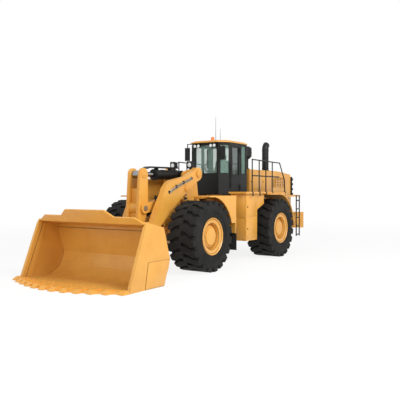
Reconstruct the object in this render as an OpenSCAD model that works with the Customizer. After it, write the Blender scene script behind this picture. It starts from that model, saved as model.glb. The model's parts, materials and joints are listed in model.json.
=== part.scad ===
// Large articulated wheel loader with a rock bucket.
// Each module is drawn in the hitch frame: X forward from the articulation pin, Y left, Z up from the ground.

/* [Wheels and axles] */
// Distance between the axles
wheelbase = 4550; // [4400:10:4700]
// Distance between the left and right tyre centres
track = 2600; // [2560:10:2660]
// Tyre diameter over the lugs
tyre_d = 2070; // [2040:10:2100]
// Tyre section width
tyre_w = 920; // [880:10:940]
// Height of the tread lugs
lug_h = 62; // [50:1:70]
// Lugs on each side of a tyre
lug_count = 20; // [18:1:22]
// Diameter of the rim where the tyre sits
rim_d = 838; // [820:2:860]
// Diameter over the rim flanges
flange_d = 1090; // [1070:5:1110]
// Diameter of the axle housing
axle_d = 420; // [380:10:440]
// Diameter of the hub spindle
spindle_d = 300; // [280:5:320]

/* [Articulation] */
// Height of the upper hitch plate's centre
hitch_top_z = 1660; // [1640:5:1680]
// Height of the lower hitch plate's centre
hitch_low_z = 790; // [770:5:810]
// Diameter of the hitch pins
hitch_pin_d = 150; // [130:2:160]
// Height of the steering cylinders
steer_z = 1180; // [1160:5:1200]

/* [Loader linkage] */
// Lift arm pivot, forward of the hitch
arm_pivot_x = 1380; // [1360:5:1400]
// Lift arm pivot, above the ground
arm_pivot_z = 2890; // [2870:5:2910]
// Bucket pivot, forward of the hitch
bucket_pivot_x = 4450; // [4430:5:4460]
// Bucket pivot, above the ground
bucket_pivot_z = 560; // [545:5:575]
// Tilt lever pivot, forward of the hitch
lever_pivot_x = 3590; // [3570:5:3610]
// Tilt lever pivot, above the ground
lever_pivot_z = 1860; // [1845:5:1875]
// Inner face of a lift arm, from the middle
arm_in_y = 430; // [428:1:440]
// Thickness of a lift arm
arm_t = 190; // [170:5:200]
// Barrel diameter of the tilt cylinder
tilt_barrel_d = 290; // [270:5:300]
// Barrel diameter of a lift cylinder
lift_barrel_d = 210; // [190:5:215]
// Barrel diameter of a steering cylinder
steer_barrel_d = 140; // [120:5:145]

/* [Bucket] */
// Width over the side plates
bucket_w = 3860; // [3800:10:3900]
// Foot of the side plate's front edge, forward of the hitch
bucket_lip_x = 6130; // [6080:10:6180]
// Forward reach of the spade nose
nose_x = 6800; // [6760:10:6840]
// Fullness of the spade nose, from 1.4 for pointed to 2.4 for blunt
nose_full = 1.8; // [1.4:0.1:2.4]
// Radius of the bucket's heel
heel_r = 640; // [620:5:650]
// Thickness of the bucket's shell
shell_t = 40; // [32:1:46]
// Thickness of the cutting edge
edge_t = 60; // [50:2:64]
// Reach of a tooth beyond the cutting edge
tooth_reach = 110; // [100:5:130]
// Rise of the spill guard's middle
guard_rise = 380; // [360:5:400]

/* [Rear body] */
// Rear face of the counterweight, behind the hitch
rear_x = 5460; // [5400:10:5500]
// Height of the hood at its front
hood_top_z = 3140; // [3120:10:3160]
// Height of the hood at its rear
hood_rear_z = 3050; // [3030:10:3070]
// Half width of the hood
hood_half_w = 800; // [770:5:820]
// Height of the walkway decks
deck_z = 2330; // [2320:5:2340]
// Outer edge of the decks, from the middle
deck_half_w = 1540; // [1520:5:1550]
// Thickness of the sheet panels
panel_t = 40; // [30:1:45]

/* [Cab] */
// Front face of the cab, forward of the hitch
cab_front_x = 0; // [-20:5:10]
// Rear face of the cab, behind the hitch
cab_rear_x = 1420; // [1400:5:1430]
// Half width of the windscreen
cab_nose_half_w = 500; // [480:5:520]
// Half width of the cab
cab_half_w = 800; // [790:2:806]
// Height of the cab floor
cab_floor_z = 2240; // [2230:5:2250]
// Height of the underside of the roof
cab_top_z = 4000; // [3980:5:4020]
// Thickness of the cab walls and door
cab_wall = 60; // [50:2:66]
// Width of the cab door
door_w = 600; // [580:5:605]
// Height of the window sills
sill_z = 2960; // [2920:10:3000]

/* [Hidden] */
$fn = 48;

// Named clearances
pin_gap = 0.3;
seat_gap = 0.3;
side_gap = 6;
running_gap = 5;

// Wheels
axle_z = tyre_d / 2;
front_x = wheelbase / 2;
rear_axle_x = -wheelbase / 2;
wheel_y = track / 2;

// The plan centre of the whole machine, which becomes the origin
origin_x = (nose_x + tooth_reach - rear_x) / 2;

// Linkage points, each as [forward, up]
A = [arm_pivot_x, arm_pivot_z];
B = [bucket_pivot_x, bucket_pivot_z];
C = [lever_pivot_x, lever_pivot_z];
// Top of the tilt lever
D = [C[0] - 30, C[1] + 970];
// Foot of the tilt lever
E = [C[0] + 190, C[1] - 980];
// Link pin on the bucket
F = [B[0] + 30, B[1] + 330];
// Foot of the tilt cylinder, on the tower
G = [A[0] + 224, A[1] - 33];
// Foot of a lift cylinder, on the front frame
H = [1650, 950];
// Head of a lift cylinder, on the lift arm
P = [A[0] + 650, A[1] - 460];
// Steering cylinder ends, as [forward, left]
S_rear = [-1000, 700];
S_front = [330, 500];

arm_pin_r = 75;
bucket_pin_r = 70;
bucket_boss_r = 125;
link_pin_r = 60;
lever_half_w = 230;
lever_ear_t = 80;
ear_in_y = lever_half_w - lever_ear_t;
tower_in_y = 300;
tower_t = 60;
tower_y = tower_in_y + tower_t;
cylinder_y = arm_in_y + arm_t / 2;
beam_in_y = 420;
beam_t = 60;
beam_y = beam_in_y + beam_t;
neck_half_w = 300;

yellow = "#E9A92E";
dark = "#3A3A3C";
black = "#1E1E20";
rubber = "#232325";
steel = "#B9BCC0";
glass = "#8FB8AE";

// Shared shapes

// Points on an arc in the plane, angles in degrees
function arc(centre, r, from, to, steps = 10) =
  [for (i = [0:steps]) let (a = from + (to - from) * i / steps) centre + r * [cos(a), sin(a)]];

// A side-view outline, given as [forward, up] points, between two distances from the middle
module side_plate(points, y0, y1) {
  translate([0, y1, 0]) rotate([90, 0, 0]) linear_extrude(y1 - y0) polygon(points);
}

// A side-view outline drawn by the children, between two distances from the middle
module side_profile(y0, y1) {
  translate([0, y1, 0]) rotate([90, 0, 0]) linear_extrude(y1 - y0) children();
}

// A round bar across the machine at a side-view point
module cross_pin(point, r, y0, y1) {
  translate([point[0], y0, point[1]]) rotate([-90, 0, 0]) cylinder(r = r, h = y1 - y0);
}

// A box between two corners
module block(low, high) {
  translate(low) cube(high - low);
}

module both_sides() {
  children();
  mirror([0, 1, 0]) children();
}

// A straight round tube between two points
module tube(from, to, r) {
  way = to - from;
  length = norm(way);
  translate(from)
    rotate([0, acos(way[2] / length), atan2(way[1], way[0])])
      cylinder(r = r, h = length, $fn = 16);
}

// A tube along several points, with a ball at each bend
module railing(points, r) {
  for (i = [0:len(points) - 2]) tube(points[i], points[i + 1], r);
  for (i = [1:len(points) - 2]) translate(points[i]) sphere(r = r * 1.2, $fn = 24);
}

// Wheels and tyres

// One bent lug, seen from outside the tread: along the rim, then across the tyre to the shoulder
module lug() {
  pitch = PI * tyre_d / lug_count;
  half = tyre_w / 2;
  w = pitch * 0.36;
  lean = pitch * 0.42;
  root_r = tyre_d / 2 - 150;
  translate([0, 0, root_r]) linear_extrude(tyre_d / 2 - root_r) polygon([
    [-w * 0.8, -half * 0.07], [w * 0.8, -half * 0.07], [w + lean * 0.25, half * 0.42], [w + lean, half * 0.72], [w * 0.8 + lean, half - 10],
    [-w * 0.8 + lean, half - 10], [-w + lean, half * 0.72], [-w + lean * 0.25, half * 0.42]]);
}

module tyre_body() {
  bead_r = rim_d / 2 + seat_gap;
  flange_r = flange_d / 2;
  tread_r = tyre_d / 2 - lug_h;
  half = tyre_w / 2;
  shoulder_r = 110;
  rotate([90, 0, 0]) rotate_extrude($fn = 96) polygon(concat(
    [[bead_r, -half + 142], [flange_r - 28, -half + 84], [flange_r + 4, -half + 34], [tread_r * 0.78, -half]],
    arc([tread_r - shoulder_r, -half + shoulder_r + 6], shoulder_r, -90, -10, 3),
    arc([tread_r - shoulder_r, half - shoulder_r - 6], shoulder_r, 10, 90, 3),
    [[tread_r * 0.78, half], [flange_r + 4, half - 34], [flange_r - 28, half - 84], [bead_r, half - 142]]));
  // Two staggered rows of lugs, turned down to the tyre's diameter
  intersection() {
    rotate([90, 0, 0]) cylinder(d = tyre_d, h = tyre_w, center = true, $fn = 96);
    for (i = [0:lug_count - 1], side = [0, 1])
      rotate([0, (i + side / 2) * 360 / lug_count, 0]) mirror([0, side, 0]) lug();
  }
}

module wheel_body() {
  half = tyre_w / 2;
  seat_r = rim_d / 2;
  flange_r = flange_d / 2;
  well_r = seat_r - 40;
  bore_r = spindle_d / 2 + pin_gap;
  // The outline runs from the inner flange to the outer one, then back along the disc and hub
  rotate([90, 0, 0]) rotate_extrude($fn = 96) polygon([
    [well_r, half - 140], [seat_r - 30, half - 70], [flange_r - 45, half - 50], [flange_r - 10, half - 16],
    [flange_r, half - 30], [flange_r - 30, half - 80], [seat_r, half - 140],
    [seat_r, -half + 140], [flange_r - 30, -half + 80], [flange_r, -half + 30],
    [flange_r - 10, -half + 16], [flange_r - 45, -half + 50], [seat_r - 30, -half + 70], [seat_r - 44, -half + 130],
    [seat_r - 44, -half + 190], [330, -half + 200], [318, -half + 150], [262, -half + 128],
    [250, -half + 96], [60, -half + 78], [0, -half + 78],
    [0, -half + 150], [bore_r, -half + 150], [bore_r, 60], [250, 60], [262, -half + 240], [well_r, -half + 240]]);
}

module place_wheel(x, side) {
  translate([x, side * wheel_y, axle_z]) mirror([0, side > 0 ? 0 : 1, 0]) children();
}

module wheel(x, side) { color(yellow) place_wheel(x, side) wheel_body(); }
module tyre(x, side) { color(rubber) place_wheel(x, side) tyre_body(); }

// An axle with its hubs, its pads and a pinion shaft that reaches to a point along the machine
module axle(x, pad_z, shaft_to) {
  spindle_end = wheel_y + tyre_w / 2 - 150 - running_gap;
  flange_end = wheel_y - 60 - running_gap;
  housing_end = flange_end - 60;
  translate([x, 0, axle_z]) {
    rotate([90, 0, 0]) translate([0, 0, -housing_end]) cylinder(d = axle_d * 0.8, h = 2 * housing_end);
    sphere(d = axle_d * 1.35);
    rotate([0, sign(shaft_to - x) * 90, 0]) cylinder(r = 55, h = abs(shaft_to - x));
    rotate([0, sign(shaft_to - x) * 90, 0]) cylinder(r = 130, h = axle_d * 0.75);
    both_sides() rotate([-90, 0, 0]) {
      translate([0, 0, housing_end]) cylinder(d = axle_d, h = flange_end - housing_end);
      translate([0, 0, 0]) cylinder(d = spindle_d, h = spindle_end);
    }
  }
  // Pads that bolt to the frame above
  both_sides() block([x - 180, 250, axle_z], [x + 180, 480, pad_z]);
}

// Rear frame and what it carries

pad_top_z = 1290;

module rear_frame() {
  beam_low_z = 900;
  beam_top_z = 1750;
  color(yellow) {
    difference() {
      union() {
        // Two long beams, arched over the axle
        both_sides() side_plate([
          [-1150, beam_low_z], [-1700, beam_low_z], [-1900, pad_top_z], [-2650, pad_top_z], [-2850, beam_low_z + 60],
          [-rear_x + 420, beam_low_z + 60], [-rear_x + 420, 1500], [-3200, beam_top_z], [-1150, beam_top_z]],
          beam_in_y, beam_y);
        // Cross plates between the beams
        for (x = [-2900, -4200, -rear_x + 480])
          block([x, -beam_in_y, 1330], [x + 60, beam_in_y, 1500]);
        for (x = [-1860, -1500])
          block([x, -beam_in_y, 1230], [x + 60, beam_in_y, 1330]);
        // The neck that carries the hitch forks
        block([-1150, -beam_y, hitch_low_z - 150], [-1090, beam_y, cab_floor_z - seat_gap]);
        block([-560, -neck_half_w, hitch_top_z + 140], [-500, neck_half_w, cab_floor_z - seat_gap]);
        both_sides() block([-1090, neck_half_w - 60, hitch_low_z + 160], [-420, neck_half_w, hitch_top_z - 180]);
        for (z = [hitch_low_z, hitch_top_z], s = [-1, 1])
          translate([0, 0, z + s * 110 - 40]) linear_extrude(80) {
            polygon([[-1090, -neck_half_w], [-420, -neck_half_w], [-60, -170], [-60, 170], [-420, neck_half_w], [-1090, neck_half_w]]);
            circle(r = 180);
          }
        for (z = [hitch_low_z, hitch_top_z])
          block([-1090, -neck_half_w, z - 150], [-420, neck_half_w, z + 150]);
        // Hitch pins
        for (z = [hitch_low_z, hitch_top_z]) translate([0, 0, z - 170]) cylinder(d = hitch_pin_d, h = 340);
        // Steering cylinder brackets
        both_sides() for (s = [-1, 1]) translate([0, 0, steer_z + s * 105 - 20]) linear_extrude(40) {
          polygon([[-1150, beam_in_y], [S_rear[0] + 60, S_rear[1] - 90], [S_rear[0] + 60, S_rear[1]], [S_rear[0], S_rear[1] + 90], [-1150, S_rear[1] + 40]]);
          translate(S_rear) circle(r = 90);
        }
        both_sides() translate([S_rear[0], S_rear[1], steer_z - 125]) cylinder(r = 45, h = 250);
        // Outriggers under the tanks and decks
        both_sides() {
          block([-1150, neck_half_w, 1500], [-900, tank_in_y - seat_gap, 1700]);
          block([-3350, beam_in_y, 1640], [-3250, hood_half_w, hood_low_z - seat_gap]);
          block([-4950, beam_in_y, 1450], [-4850, hood_half_w, hood_low_z - seat_gap]);
        }
      }
      // Way for the propeller shaft
      translate([-1200, 0, axle_z]) rotate([0, 90, 0]) cylinder(r = 120, h = 1200);
    }
  }
}

module counterweight() {
  color(yellow) {
    difference() {
      translate([0, 0, 860]) linear_extrude(640) polygon([
        [-rear_x + 420, -1000], [-rear_x + 420, 1000], [-rear_x + 120, 1300], [-rear_x, 1240],
        [-rear_x, -1240], [-rear_x + 120, -1300]]);
      // Tow pin slot
      block([-rear_x - 1, -180, 1040], [-rear_x + 200, 180, 1180]);
      translate([-rear_x + 110, 0, 800]) cylinder(r = 45, h = 800);
    }
  }
}

module engine() {
  color(dark) block([-4700, -beam_in_y + 40, 1500], [-2500, beam_in_y - 40, 2800]);
}

hood_front_x = -1620;
hood_back_x = -5150;
hood_low_z = 1800;

module hood() {
  outline = [[hood_front_x, hood_low_z], [hood_front_x, hood_top_z], [-3900, hood_top_z], [hood_back_x + 60, hood_rear_z],
             [hood_back_x, hood_rear_z - 80], [hood_back_x, hood_low_z]];
  inner = [[hood_front_x - panel_t, hood_low_z - 1], [hood_front_x - panel_t, hood_top_z - panel_t], [-3900, hood_top_z - panel_t],
           [hood_back_x - 1, hood_rear_z - panel_t - 60], [hood_back_x - 1, hood_low_z - 1]];
  color(yellow) difference() {
    side_plate(outline, -hood_half_w, hood_half_w);
    side_plate(inner, -hood_half_w + panel_t, hood_half_w - panel_t);
    // Louvres in both flanks
    both_sides() for (i = [0:7])
      block([-3500 - i * 150, hood_half_w - panel_t - 1, 2500], [-3400 - i * 150, hood_half_w + 1, 2900]);
  }
}

module radiator_grille() {
  color(black) {
    x0 = hood_back_x - seat_gap;
    frame_t = 60;
    half = hood_half_w - 15;
    difference() {
      block([x0 - frame_t, -half, hood_low_z + 10], [x0, half, hood_rear_z - 150]);
      for (i = [0:8])
        block([x0 - frame_t - 1, -half + 90, hood_low_z + 70 + i * 110],
              [x0 + 1, half - 90, hood_low_z + 130 + i * 110]);
    }
    // Lamp guards with fins at both rear corners
    both_sides() {
      block([x0 - 80, half - 40, 2150], [x0 - 40, half + 60, 2950]);
      for (i = [0:3]) block([x0 - 170, half - 40, 2200 + i * 200], [x0 - 41, half + 60, 2290 + i * 200]);
    }
  }
}

module exhaust_stack() {
  stack_r = 130;
  base = [-3750, 350, hood_top_z];
  bend_r = 220;
  rise = 870;
  color(dark) translate(base) {
    difference() {
      union() {
        cylinder(r = stack_r + 40, h = 40);
        cylinder(r = stack_r, h = rise);
        translate([0, 0, rise]) translate([-bend_r, 0, 0]) rotate([90, 0, 0])
          rotate_extrude(angle = 55) translate([bend_r, 0]) circle(r = stack_r);
      }
      translate([0, 0, 60]) cylinder(r = stack_r - 12, h = rise - 60);
      translate([0, 0, rise]) translate([-bend_r, 0, 0]) rotate([90, 0, 0])
        rotate_extrude(angle = 56) translate([bend_r, 0]) circle(r = stack_r - 12);
    }
  }
}

module air_precleaner() {
  base = [-1950, 450, hood_top_z];
  bowl_r = 230;
  color(dark) translate(base) rotate_extrude() polygon([
    [0, 0], [150, 0], [150, 40], [110, 60], [110, 390], [150, 400], [bowl_r, 490],
    [bowl_r, 770], [bowl_r - 25, 810], [bowl_r - 90, 850], [0, 870]]);
}

// Cab

// Where the corner chamfers meet the flanks
cab_corner_x = -300;
door_front_x = cab_corner_x - 20;
door_low_z = deck_z + 20;
door_rear_x = door_front_x - door_w;
quarter_front_x = door_rear_x - 100;
quarter_rear_x = -cab_rear_x + 90;
cab_plan = [[cab_front_x, -cab_nose_half_w], [cab_corner_x, -cab_half_w], [-cab_rear_x, -cab_half_w],
            [-cab_rear_x, cab_half_w], [cab_corner_x, cab_half_w], [cab_front_x, cab_nose_half_w]];

module cab_prism(inset, z0, z1) {
  translate([0, 0, z0]) linear_extrude(z1 - z0) polygon([
    [cab_front_x - inset, -cab_nose_half_w + inset * 0.414], [cab_corner_x - inset * 0.414, -cab_half_w + inset],
    [-cab_rear_x + inset, -cab_half_w + inset], [-cab_rear_x + inset, cab_half_w - inset],
    [cab_corner_x - inset * 0.414, cab_half_w - inset], [cab_front_x - inset, cab_nose_half_w - inset * 0.414]]);
}

// The openings that hold glass: front, both corners, rear, right side and both rear quarters
module cab_window_cuts(grow = 0) {
  z0 = sill_z - grow;
  z1 = cab_top_z - 80 + grow;
  block([cab_front_x - 150, -cab_nose_half_w + 70 - grow, z0], [cab_front_x + 10, cab_nose_half_w - 70 + grow, z1]);
  block([-cab_rear_x - 10, -cab_half_w + 180 - grow, z0], [-cab_rear_x + 150, cab_half_w - 180 + grow, z1]);
  block([door_rear_x - grow, -cab_half_w - 10, z0], [door_front_x + grow, -cab_half_w + 150, z1]);
  both_sides() translate([(cab_front_x + cab_corner_x) / 2, (cab_nose_half_w + cab_half_w) / 2, 0]) rotate([0, 0, 135])
    block([-150 - grow, -60, z0], [150 + grow, 60, z1]);
  both_sides() block([quarter_rear_x - grow, cab_half_w - 150, z0], [quarter_front_x + grow, cab_half_w + 10, z1]);
}

module door_cut(gap) {
  block([door_rear_x - gap, cab_half_w - cab_wall - 10, door_low_z - gap],
        [door_front_x + gap, cab_half_w + 50, cab_top_z - 50 + gap]);
}

module cab_shell() {
  color(dark) {
    difference() {
      cab_prism(0, cab_floor_z, cab_top_z);
      cab_prism(cab_wall, cab_floor_z + 60, cab_top_z + 1);
      cab_window_cuts();
      door_cut(12);
    }
    // Hinge seats that carry the door's knuckles
    for (z = hinge_zs) {
      translate([hinge_x, hinge_y, z - 70]) cylinder(r = hinge_r, h = 70 - seat_gap);
      block([hinge_x - 70, cab_half_w - 5, z - 70], [hinge_x, hinge_y + 6, z - seat_gap]);
    }
  }
}

module cab_glass() {
  pane_t = 12;
  color(glass, 0.4) difference() {
    intersection() {
      difference() {
        cab_prism(20, cab_floor_z + 70, cab_top_z - 10);
        cab_prism(20 + pane_t, cab_floor_z + 60, cab_top_z);
      }
      cab_window_cuts(-seat_gap);
    }
    door_cut(0);
  }
}

slab_t = 35;
crown_t = 45;
roof_top_z = cab_top_z + slab_t + crown_t;

module cab_roof() {
  color(yellow) {
    translate([0, 0, cab_top_z + seat_gap]) linear_extrude(slab_t) polygon([
      [cab_front_x + 110, -cab_nose_half_w - 20], [cab_corner_x + 80, -cab_half_w - 10], [-cab_rear_x - 30, -cab_half_w - 10],
      [-cab_rear_x - 30, cab_half_w + 10], [cab_corner_x + 80, cab_half_w + 10], [cab_front_x + 110, cab_nose_half_w + 20]]);
    crown_x = -cab_rear_x / 2;
    translate([crown_x, 0, cab_top_z + slab_t]) linear_extrude(crown_t, scale = 0.9) translate([-crown_x, 0]) polygon([
      [cab_front_x + 60, -cab_nose_half_w], [cab_corner_x, -cab_half_w + 10], [-cab_rear_x, -cab_half_w + 10],
      [-cab_rear_x, cab_half_w - 10], [cab_corner_x, cab_half_w - 10], [cab_front_x + 60, cab_nose_half_w]]);
  }
}

module cab_interior() {
  floor_z = cab_floor_z + 60;
  color(black) {
    // Seat on its pedestal
    block([-1000, -180, floor_z], [-620, 180, floor_z + 350]);
    block([-1060, -260, floor_z + 350], [-540, 260, floor_z + 480]);
    back_z = floor_z + (cab_top_z - floor_z) * 0.67;
    side_plate([[-1060, floor_z + 480], [-920, floor_z + 480], [-1040, back_z], [-1150, back_z]], -240, 240);
    // Armrest consoles
    both_sides() block([-960, 300, floor_z], [-420, 440, floor_z + 620]);
    // Dash panel
    block([-200, -340, floor_z], [-80, 340, floor_z + 560]);
  }
}

// The window opening of the door, smaller all round by an inset
module door_window(inset, y0, y1) {
  border = 70;
  block([door_rear_x + border + inset, y0, sill_z - 40 + inset],
        [door_front_x - border - inset, y1, cab_top_z - 140 - inset]);
}

// The door's hinge line, just outside the cab's flank
hinge_x = door_rear_x - 4;
hinge_y = cab_half_w + 20;
hinge_r = 20;
hinge_zs = [sill_z - 500, cab_top_z - 260];

module cab_door() {
  color(dark) {
    difference() {
      block([door_rear_x, cab_half_w - cab_wall, door_low_z], [door_front_x, cab_half_w, cab_top_z - 50]);
      door_window(0, cab_half_w - cab_wall - 1, cab_half_w + 1);
    }
    // Hinge knuckles on the rear edge
    for (z = hinge_zs) {
      translate([hinge_x, hinge_y, z]) cylinder(r = hinge_r, h = 120);
      block([hinge_x, cab_half_w - 5, z], [hinge_x + 60, cab_half_w + 20, z + 120]);
    }
  }
}

module door_glass() {
  color(glass, 0.4) door_window(seat_gap, cab_half_w - 40, cab_half_w - 28);
}

module roof_beacon() {
  color("#F07818") translate([-420, 0, roof_top_z]) {
    cylinder(r = 70, h = 30);
    translate([0, 0, 30]) cylinder(r1 = 62, r2 = 55, h = 110);
    translate([0, 0, 140]) cylinder(r1 = 55, r2 = 30, h = 20);
  }
}

module antennas() {
  color(black) for (i = [0, 1]) translate([-700 - 300 * i, -50, roof_top_z]) {
    cylinder(r = 25, h = 60);
    cylinder(r1 = 9, r2 = 4, h = 900 - 400 * i, $fn = 16);
  }
}

module work_lamps() {
  lamp_z = cab_top_z - 110;
  color(black) both_sides() {
    for (dy = [0, 140]) translate([cab_front_x + 45, 250 + dy, lamp_z]) {
      rotate([0, 90, 0]) cylinder(r1 = 50, r2 = 60, h = 60);
      block([-20, -15, 0], [10, 15, 110]);
    }
  }
}

module mirrors() {
  color(black) both_sides() {
    // A foot below the roof's front corner, a square arm and the mirror's case
    foot_y = cab_nose_half_w - 10;
    block([cab_front_x + 50, foot_y - 20, cab_top_z - 40], [cab_front_x + 90, foot_y + 20, cab_top_z]);
    block([cab_front_x + 58, foot_y, cab_top_z - 37], [cab_front_x + 82, foot_y + 246, cab_top_z - 13]);
    block([cab_front_x + 62, foot_y + 216, cab_top_z - 170], [cab_front_x + 86, foot_y + 240, cab_top_z - 20]);
    block([cab_front_x + 54, foot_y + 140, cab_top_z - 600], [cab_front_x + 110, foot_y + 320, cab_top_z - 150]);
  }
}

// Decks, rails, tanks and steps

deck_front_x = -60;
deck_back_x = -3100;
rear_deck_z = 2140;
platform_y = 1280;
tank_y = 1440;
tank_in_y = 860;

module decks() {
  deck_t = 60;
  color(yellow) both_sides() {
    block([deck_back_x, hood_half_w + 60, deck_z - deck_t], [-cab_rear_x - 20, deck_half_w, deck_z]);
    block([-cab_rear_x - 20, cab_half_w + 60, deck_z - deck_t], [deck_front_x, deck_half_w, deck_z]);
    // Rear platform beside the hood, bolted to its flank
    block([-4950, hood_half_w + seat_gap, rear_deck_z], [-3300, platform_y, rear_deck_z + deck_t]);
  }
}

module handrails() {
  r = 20;
  y = deck_half_w - 25;
  top = deck_z + 1080;
  color(black) both_sides() {
    railing([[-500, y, deck_z], [-500, y, top], [-2600, y, top - 30], [deck_back_x + 60, y, deck_z + 400], [deck_back_x + 60, y, deck_z]], r);
    for (x = [-1000, -1500, -2000]) tube([x, y, deck_z], [x, y, top - 12], r);
    tube([-500, y, deck_z + 540], [-2560, y, deck_z + 540], r);
  }
}

module side_tanks() {
  color(yellow) both_sides()
    side_plate([[-200, 700], [-200, deck_z - 60], [-1500, deck_z - 60], [-1500, 1920], [-1000, 1720], [-980, 700]],
               tank_in_y, tank_y);
}

module rear_fenders() {
  color(yellow) both_sides() {
    block([-2900, hood_half_w + 60, deck_z - 100], [-1501, deck_half_w + 160, deck_z - 60]);
    side_plate(arch(rear_axle_x, deck_z - 100 - axle_z, 40, 90, 172), hood_half_w + 60, deck_half_w + 160);
  }
}

module rear_ladder() {
  color(black) both_sides() {
    stringer_r = 24;
    y = platform_y + seat_gap + stringer_r;
    for (x = [-4900, -4600]) tube([x, y, 560], [x, y, rear_deck_z + 60], stringer_r);
    for (i = [0:4]) tube([-4900, y, 620 + i * 340], [-4600, y, 620 + i * 340], 18);
  }
}

drop_box_x = -1780;
shaft_r = 55;

module drivetrain() {
  color(dark) {
    block([-2000, -330, 1330], [-1300, 330, hood_low_z - 20]);
    block([drop_box_x, -200, axle_z - 130], [-1560, 200, 1400]);
    translate([-1600, 0, axle_z]) rotate([0, 90, 0]) cylinder(r = shaft_r, h = 1440);
  }
}

// Front frame and what it carries

lamp_seat_z = 3030;

module front_frame() {
  color(yellow) difference() {
    union() {
      both_sides() side_plate([
        [560, hitch_low_z + 120], [560, hitch_low_z - 70], [1700, hitch_low_z - 120], [1950, pad_top_z], [2750, pad_top_z], [2750, 1500],
        [2200, 1900], [1900, 2650], [1800, 2950], [1620, 3000], [1480, lamp_seat_z], [1280, lamp_seat_z], [1170, 3000], [1120, 2850], [1000, 2100],
        [560, hitch_top_z + 120], [420, hitch_top_z + 80], [420, hitch_top_z - 80], [560, hitch_top_z - 120]],
        tower_in_y, tower_y);
      // Cross plates between the side plates
      block([620, -tower_in_y, hitch_low_z - 60], [700, tower_in_y, hitch_top_z + 60]);
      block([1090, -tower_in_y, 2150], [1150, tower_in_y, 2600]);
      block([2500, -tower_in_y, 1330], [2560, tower_in_y, 1560]);
      // Hitch tongues
      for (z = [hitch_low_z, hitch_top_z]) translate([0, 0, z - 58]) linear_extrude(116) {
        polygon([[700, -tower_in_y], [700, tower_in_y], [420, tower_in_y], [60, 160], [60, -160], [420, -tower_in_y]]);
        circle(r = 170);
      }
      // Pivot pins for the arms, the tilt cylinder and the lift cylinders
      both_sides() {
        cross_pin(A, 140, tower_y, arm_in_y - side_gap);
        cross_pin(A, arm_pin_r, tower_in_y, arm_in_y + arm_t + 20);
        cross_pin(H, 70, tower_in_y, cylinder_y + 110);
      }
      cross_pin(G, 65, -tower_in_y, tower_in_y);
      // Steering cylinder brackets
      both_sides() for (s = [-1, 1]) translate([0, 0, steer_z + s * 105 - 20]) linear_extrude(40) {
        polygon([[700, tower_in_y], [S_front[0] - 40, S_front[1] - 85], [S_front[0], S_front[1] + 85], [800, tower_y], [800, tower_in_y]]);
        translate(S_front) circle(r = 85);
      }
    }
    for (z = [hitch_low_z, hitch_top_z]) translate([0, 0, z - 300]) cylinder(r = hitch_pin_d / 2 + pin_gap, h = 600);
    // Way for the propeller shaft
    translate([600, 0, axle_z]) rotate([0, 90, 0]) cylinder(r = 120, h = 200);
  }
}

// Side outline of a mudguard band around a tyre, between two angles
function arch(x, r, t, from, to) = concat(arc([x, axle_z], r + t, from, to, 10), arc([x, axle_z], r, to, from, 10));

arch_r = tyre_d / 2 + 110;
fender_x = 920;
fender_in_y = wheel_y - tyre_w / 2 - 20;

module front_fenders() {
  out_y = wheel_y + tyre_w / 2 - 40;
  band = concat([[2400, 2210], [fender_x, 2210], [fender_x, 1370], [fender_x + 40, 1370]], arc([front_x, axle_z], arch_r, 163, 84, 8));
  color(yellow) both_sides() {
    block([fender_x, fender_in_y, 2170], [2400, out_y, 2210]);
    block([fender_x, fender_in_y, 1050], [fender_x + 40, out_y, 2210]);
    // Arched gusset along the outer edge
    side_plate(band, out_y - 30, out_y);
    // Bracket to the tower
    block([1100, tower_y + seat_gap, 2110], [1240, out_y - 200, 2171]);
  }
}

module mud_flaps() {
  out_y = wheel_y + tyre_w / 2 - 40;
  color(rubber) both_sides() block([fender_x - 25, fender_in_y + 30, 520], [fender_x - seat_gap, out_y, 1200]);
}

// A lamp housing on each tower plate: a tapered box with a round lens seat
module front_lamps() {
  y = tower_in_y + tower_t / 2;
  color(black) both_sides() {
    block([1320, y - 25, lamp_seat_z + seat_gap], [1440, y + 25, lamp_seat_z + 60]);
    difference() {
      side_plate([[1290, lamp_seat_z + 50], [1480, lamp_seat_z + 30], [1480, lamp_seat_z + 260], [1330, lamp_seat_z + 240]], y - 90, y + 90);
      translate([1480, y, lamp_seat_z + 145]) rotate([0, 90, 0]) cylinder(r = 75, h = 60, center = true);
    }
  }
}

// Lift arms and the bucket linkage

module lift_arms() {
  outline = concat(
    arc(A, 200, 245, 80, 8),
    [[1980, 2800]],
    arc([2500, 2030], 680, 70, 22, 6),
    [[3430, 1810], [3600, 1480], [3950, 1090]],
    arc(B, bucket_boss_r, 35, -140, 8),
    [[3329, 1314], [3038, 1551], [2677, 1866], [2238, 2156], [1530, 2600]]);
  tube_c = [2950, 1950];
  cheek_t = 30;
  color(yellow) difference() {
    union() {
      both_sides() side_plate(outline, arm_in_y, arm_in_y + arm_t);
      // Cross tube and the brackets of the tilt lever
      cross_pin(tube_c, 150, -arm_in_y, arm_in_y);
      both_sides() side_plate(concat([[2930, 1810]], arc(C, 150, -80, 110, 8), [[2950, 2095]]), lever_half_w + side_gap, lever_half_w + side_gap + 70);
      // Pin bosses on the outer faces
      both_sides() cross_pin(P, 105, arm_in_y + arm_t - 1, arm_in_y + arm_t + 20);
    }
    // Pockets that take the rod eyes of the lift cylinders, open underneath
    both_sides() cross_pin(P, 300, arm_in_y + cheek_t, arm_in_y + arm_t - cheek_t);
    both_sides() cross_pin(A, arm_pin_r + pin_gap, arm_in_y - 1, arm_in_y + arm_t + 1);
    both_sides() cross_pin(B, bucket_pin_r + pin_gap, arm_in_y - 1, arm_in_y + arm_t + 1);
    cross_pin(C, arm_pin_r + pin_gap, -arm_in_y + 20, arm_in_y - 20);
  }
}

module bucket_pins() {
  color(steel) both_sides() cross_pin(B, bucket_pin_r, arm_in_y - 90, arm_in_y + arm_t + 90);
}

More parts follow.
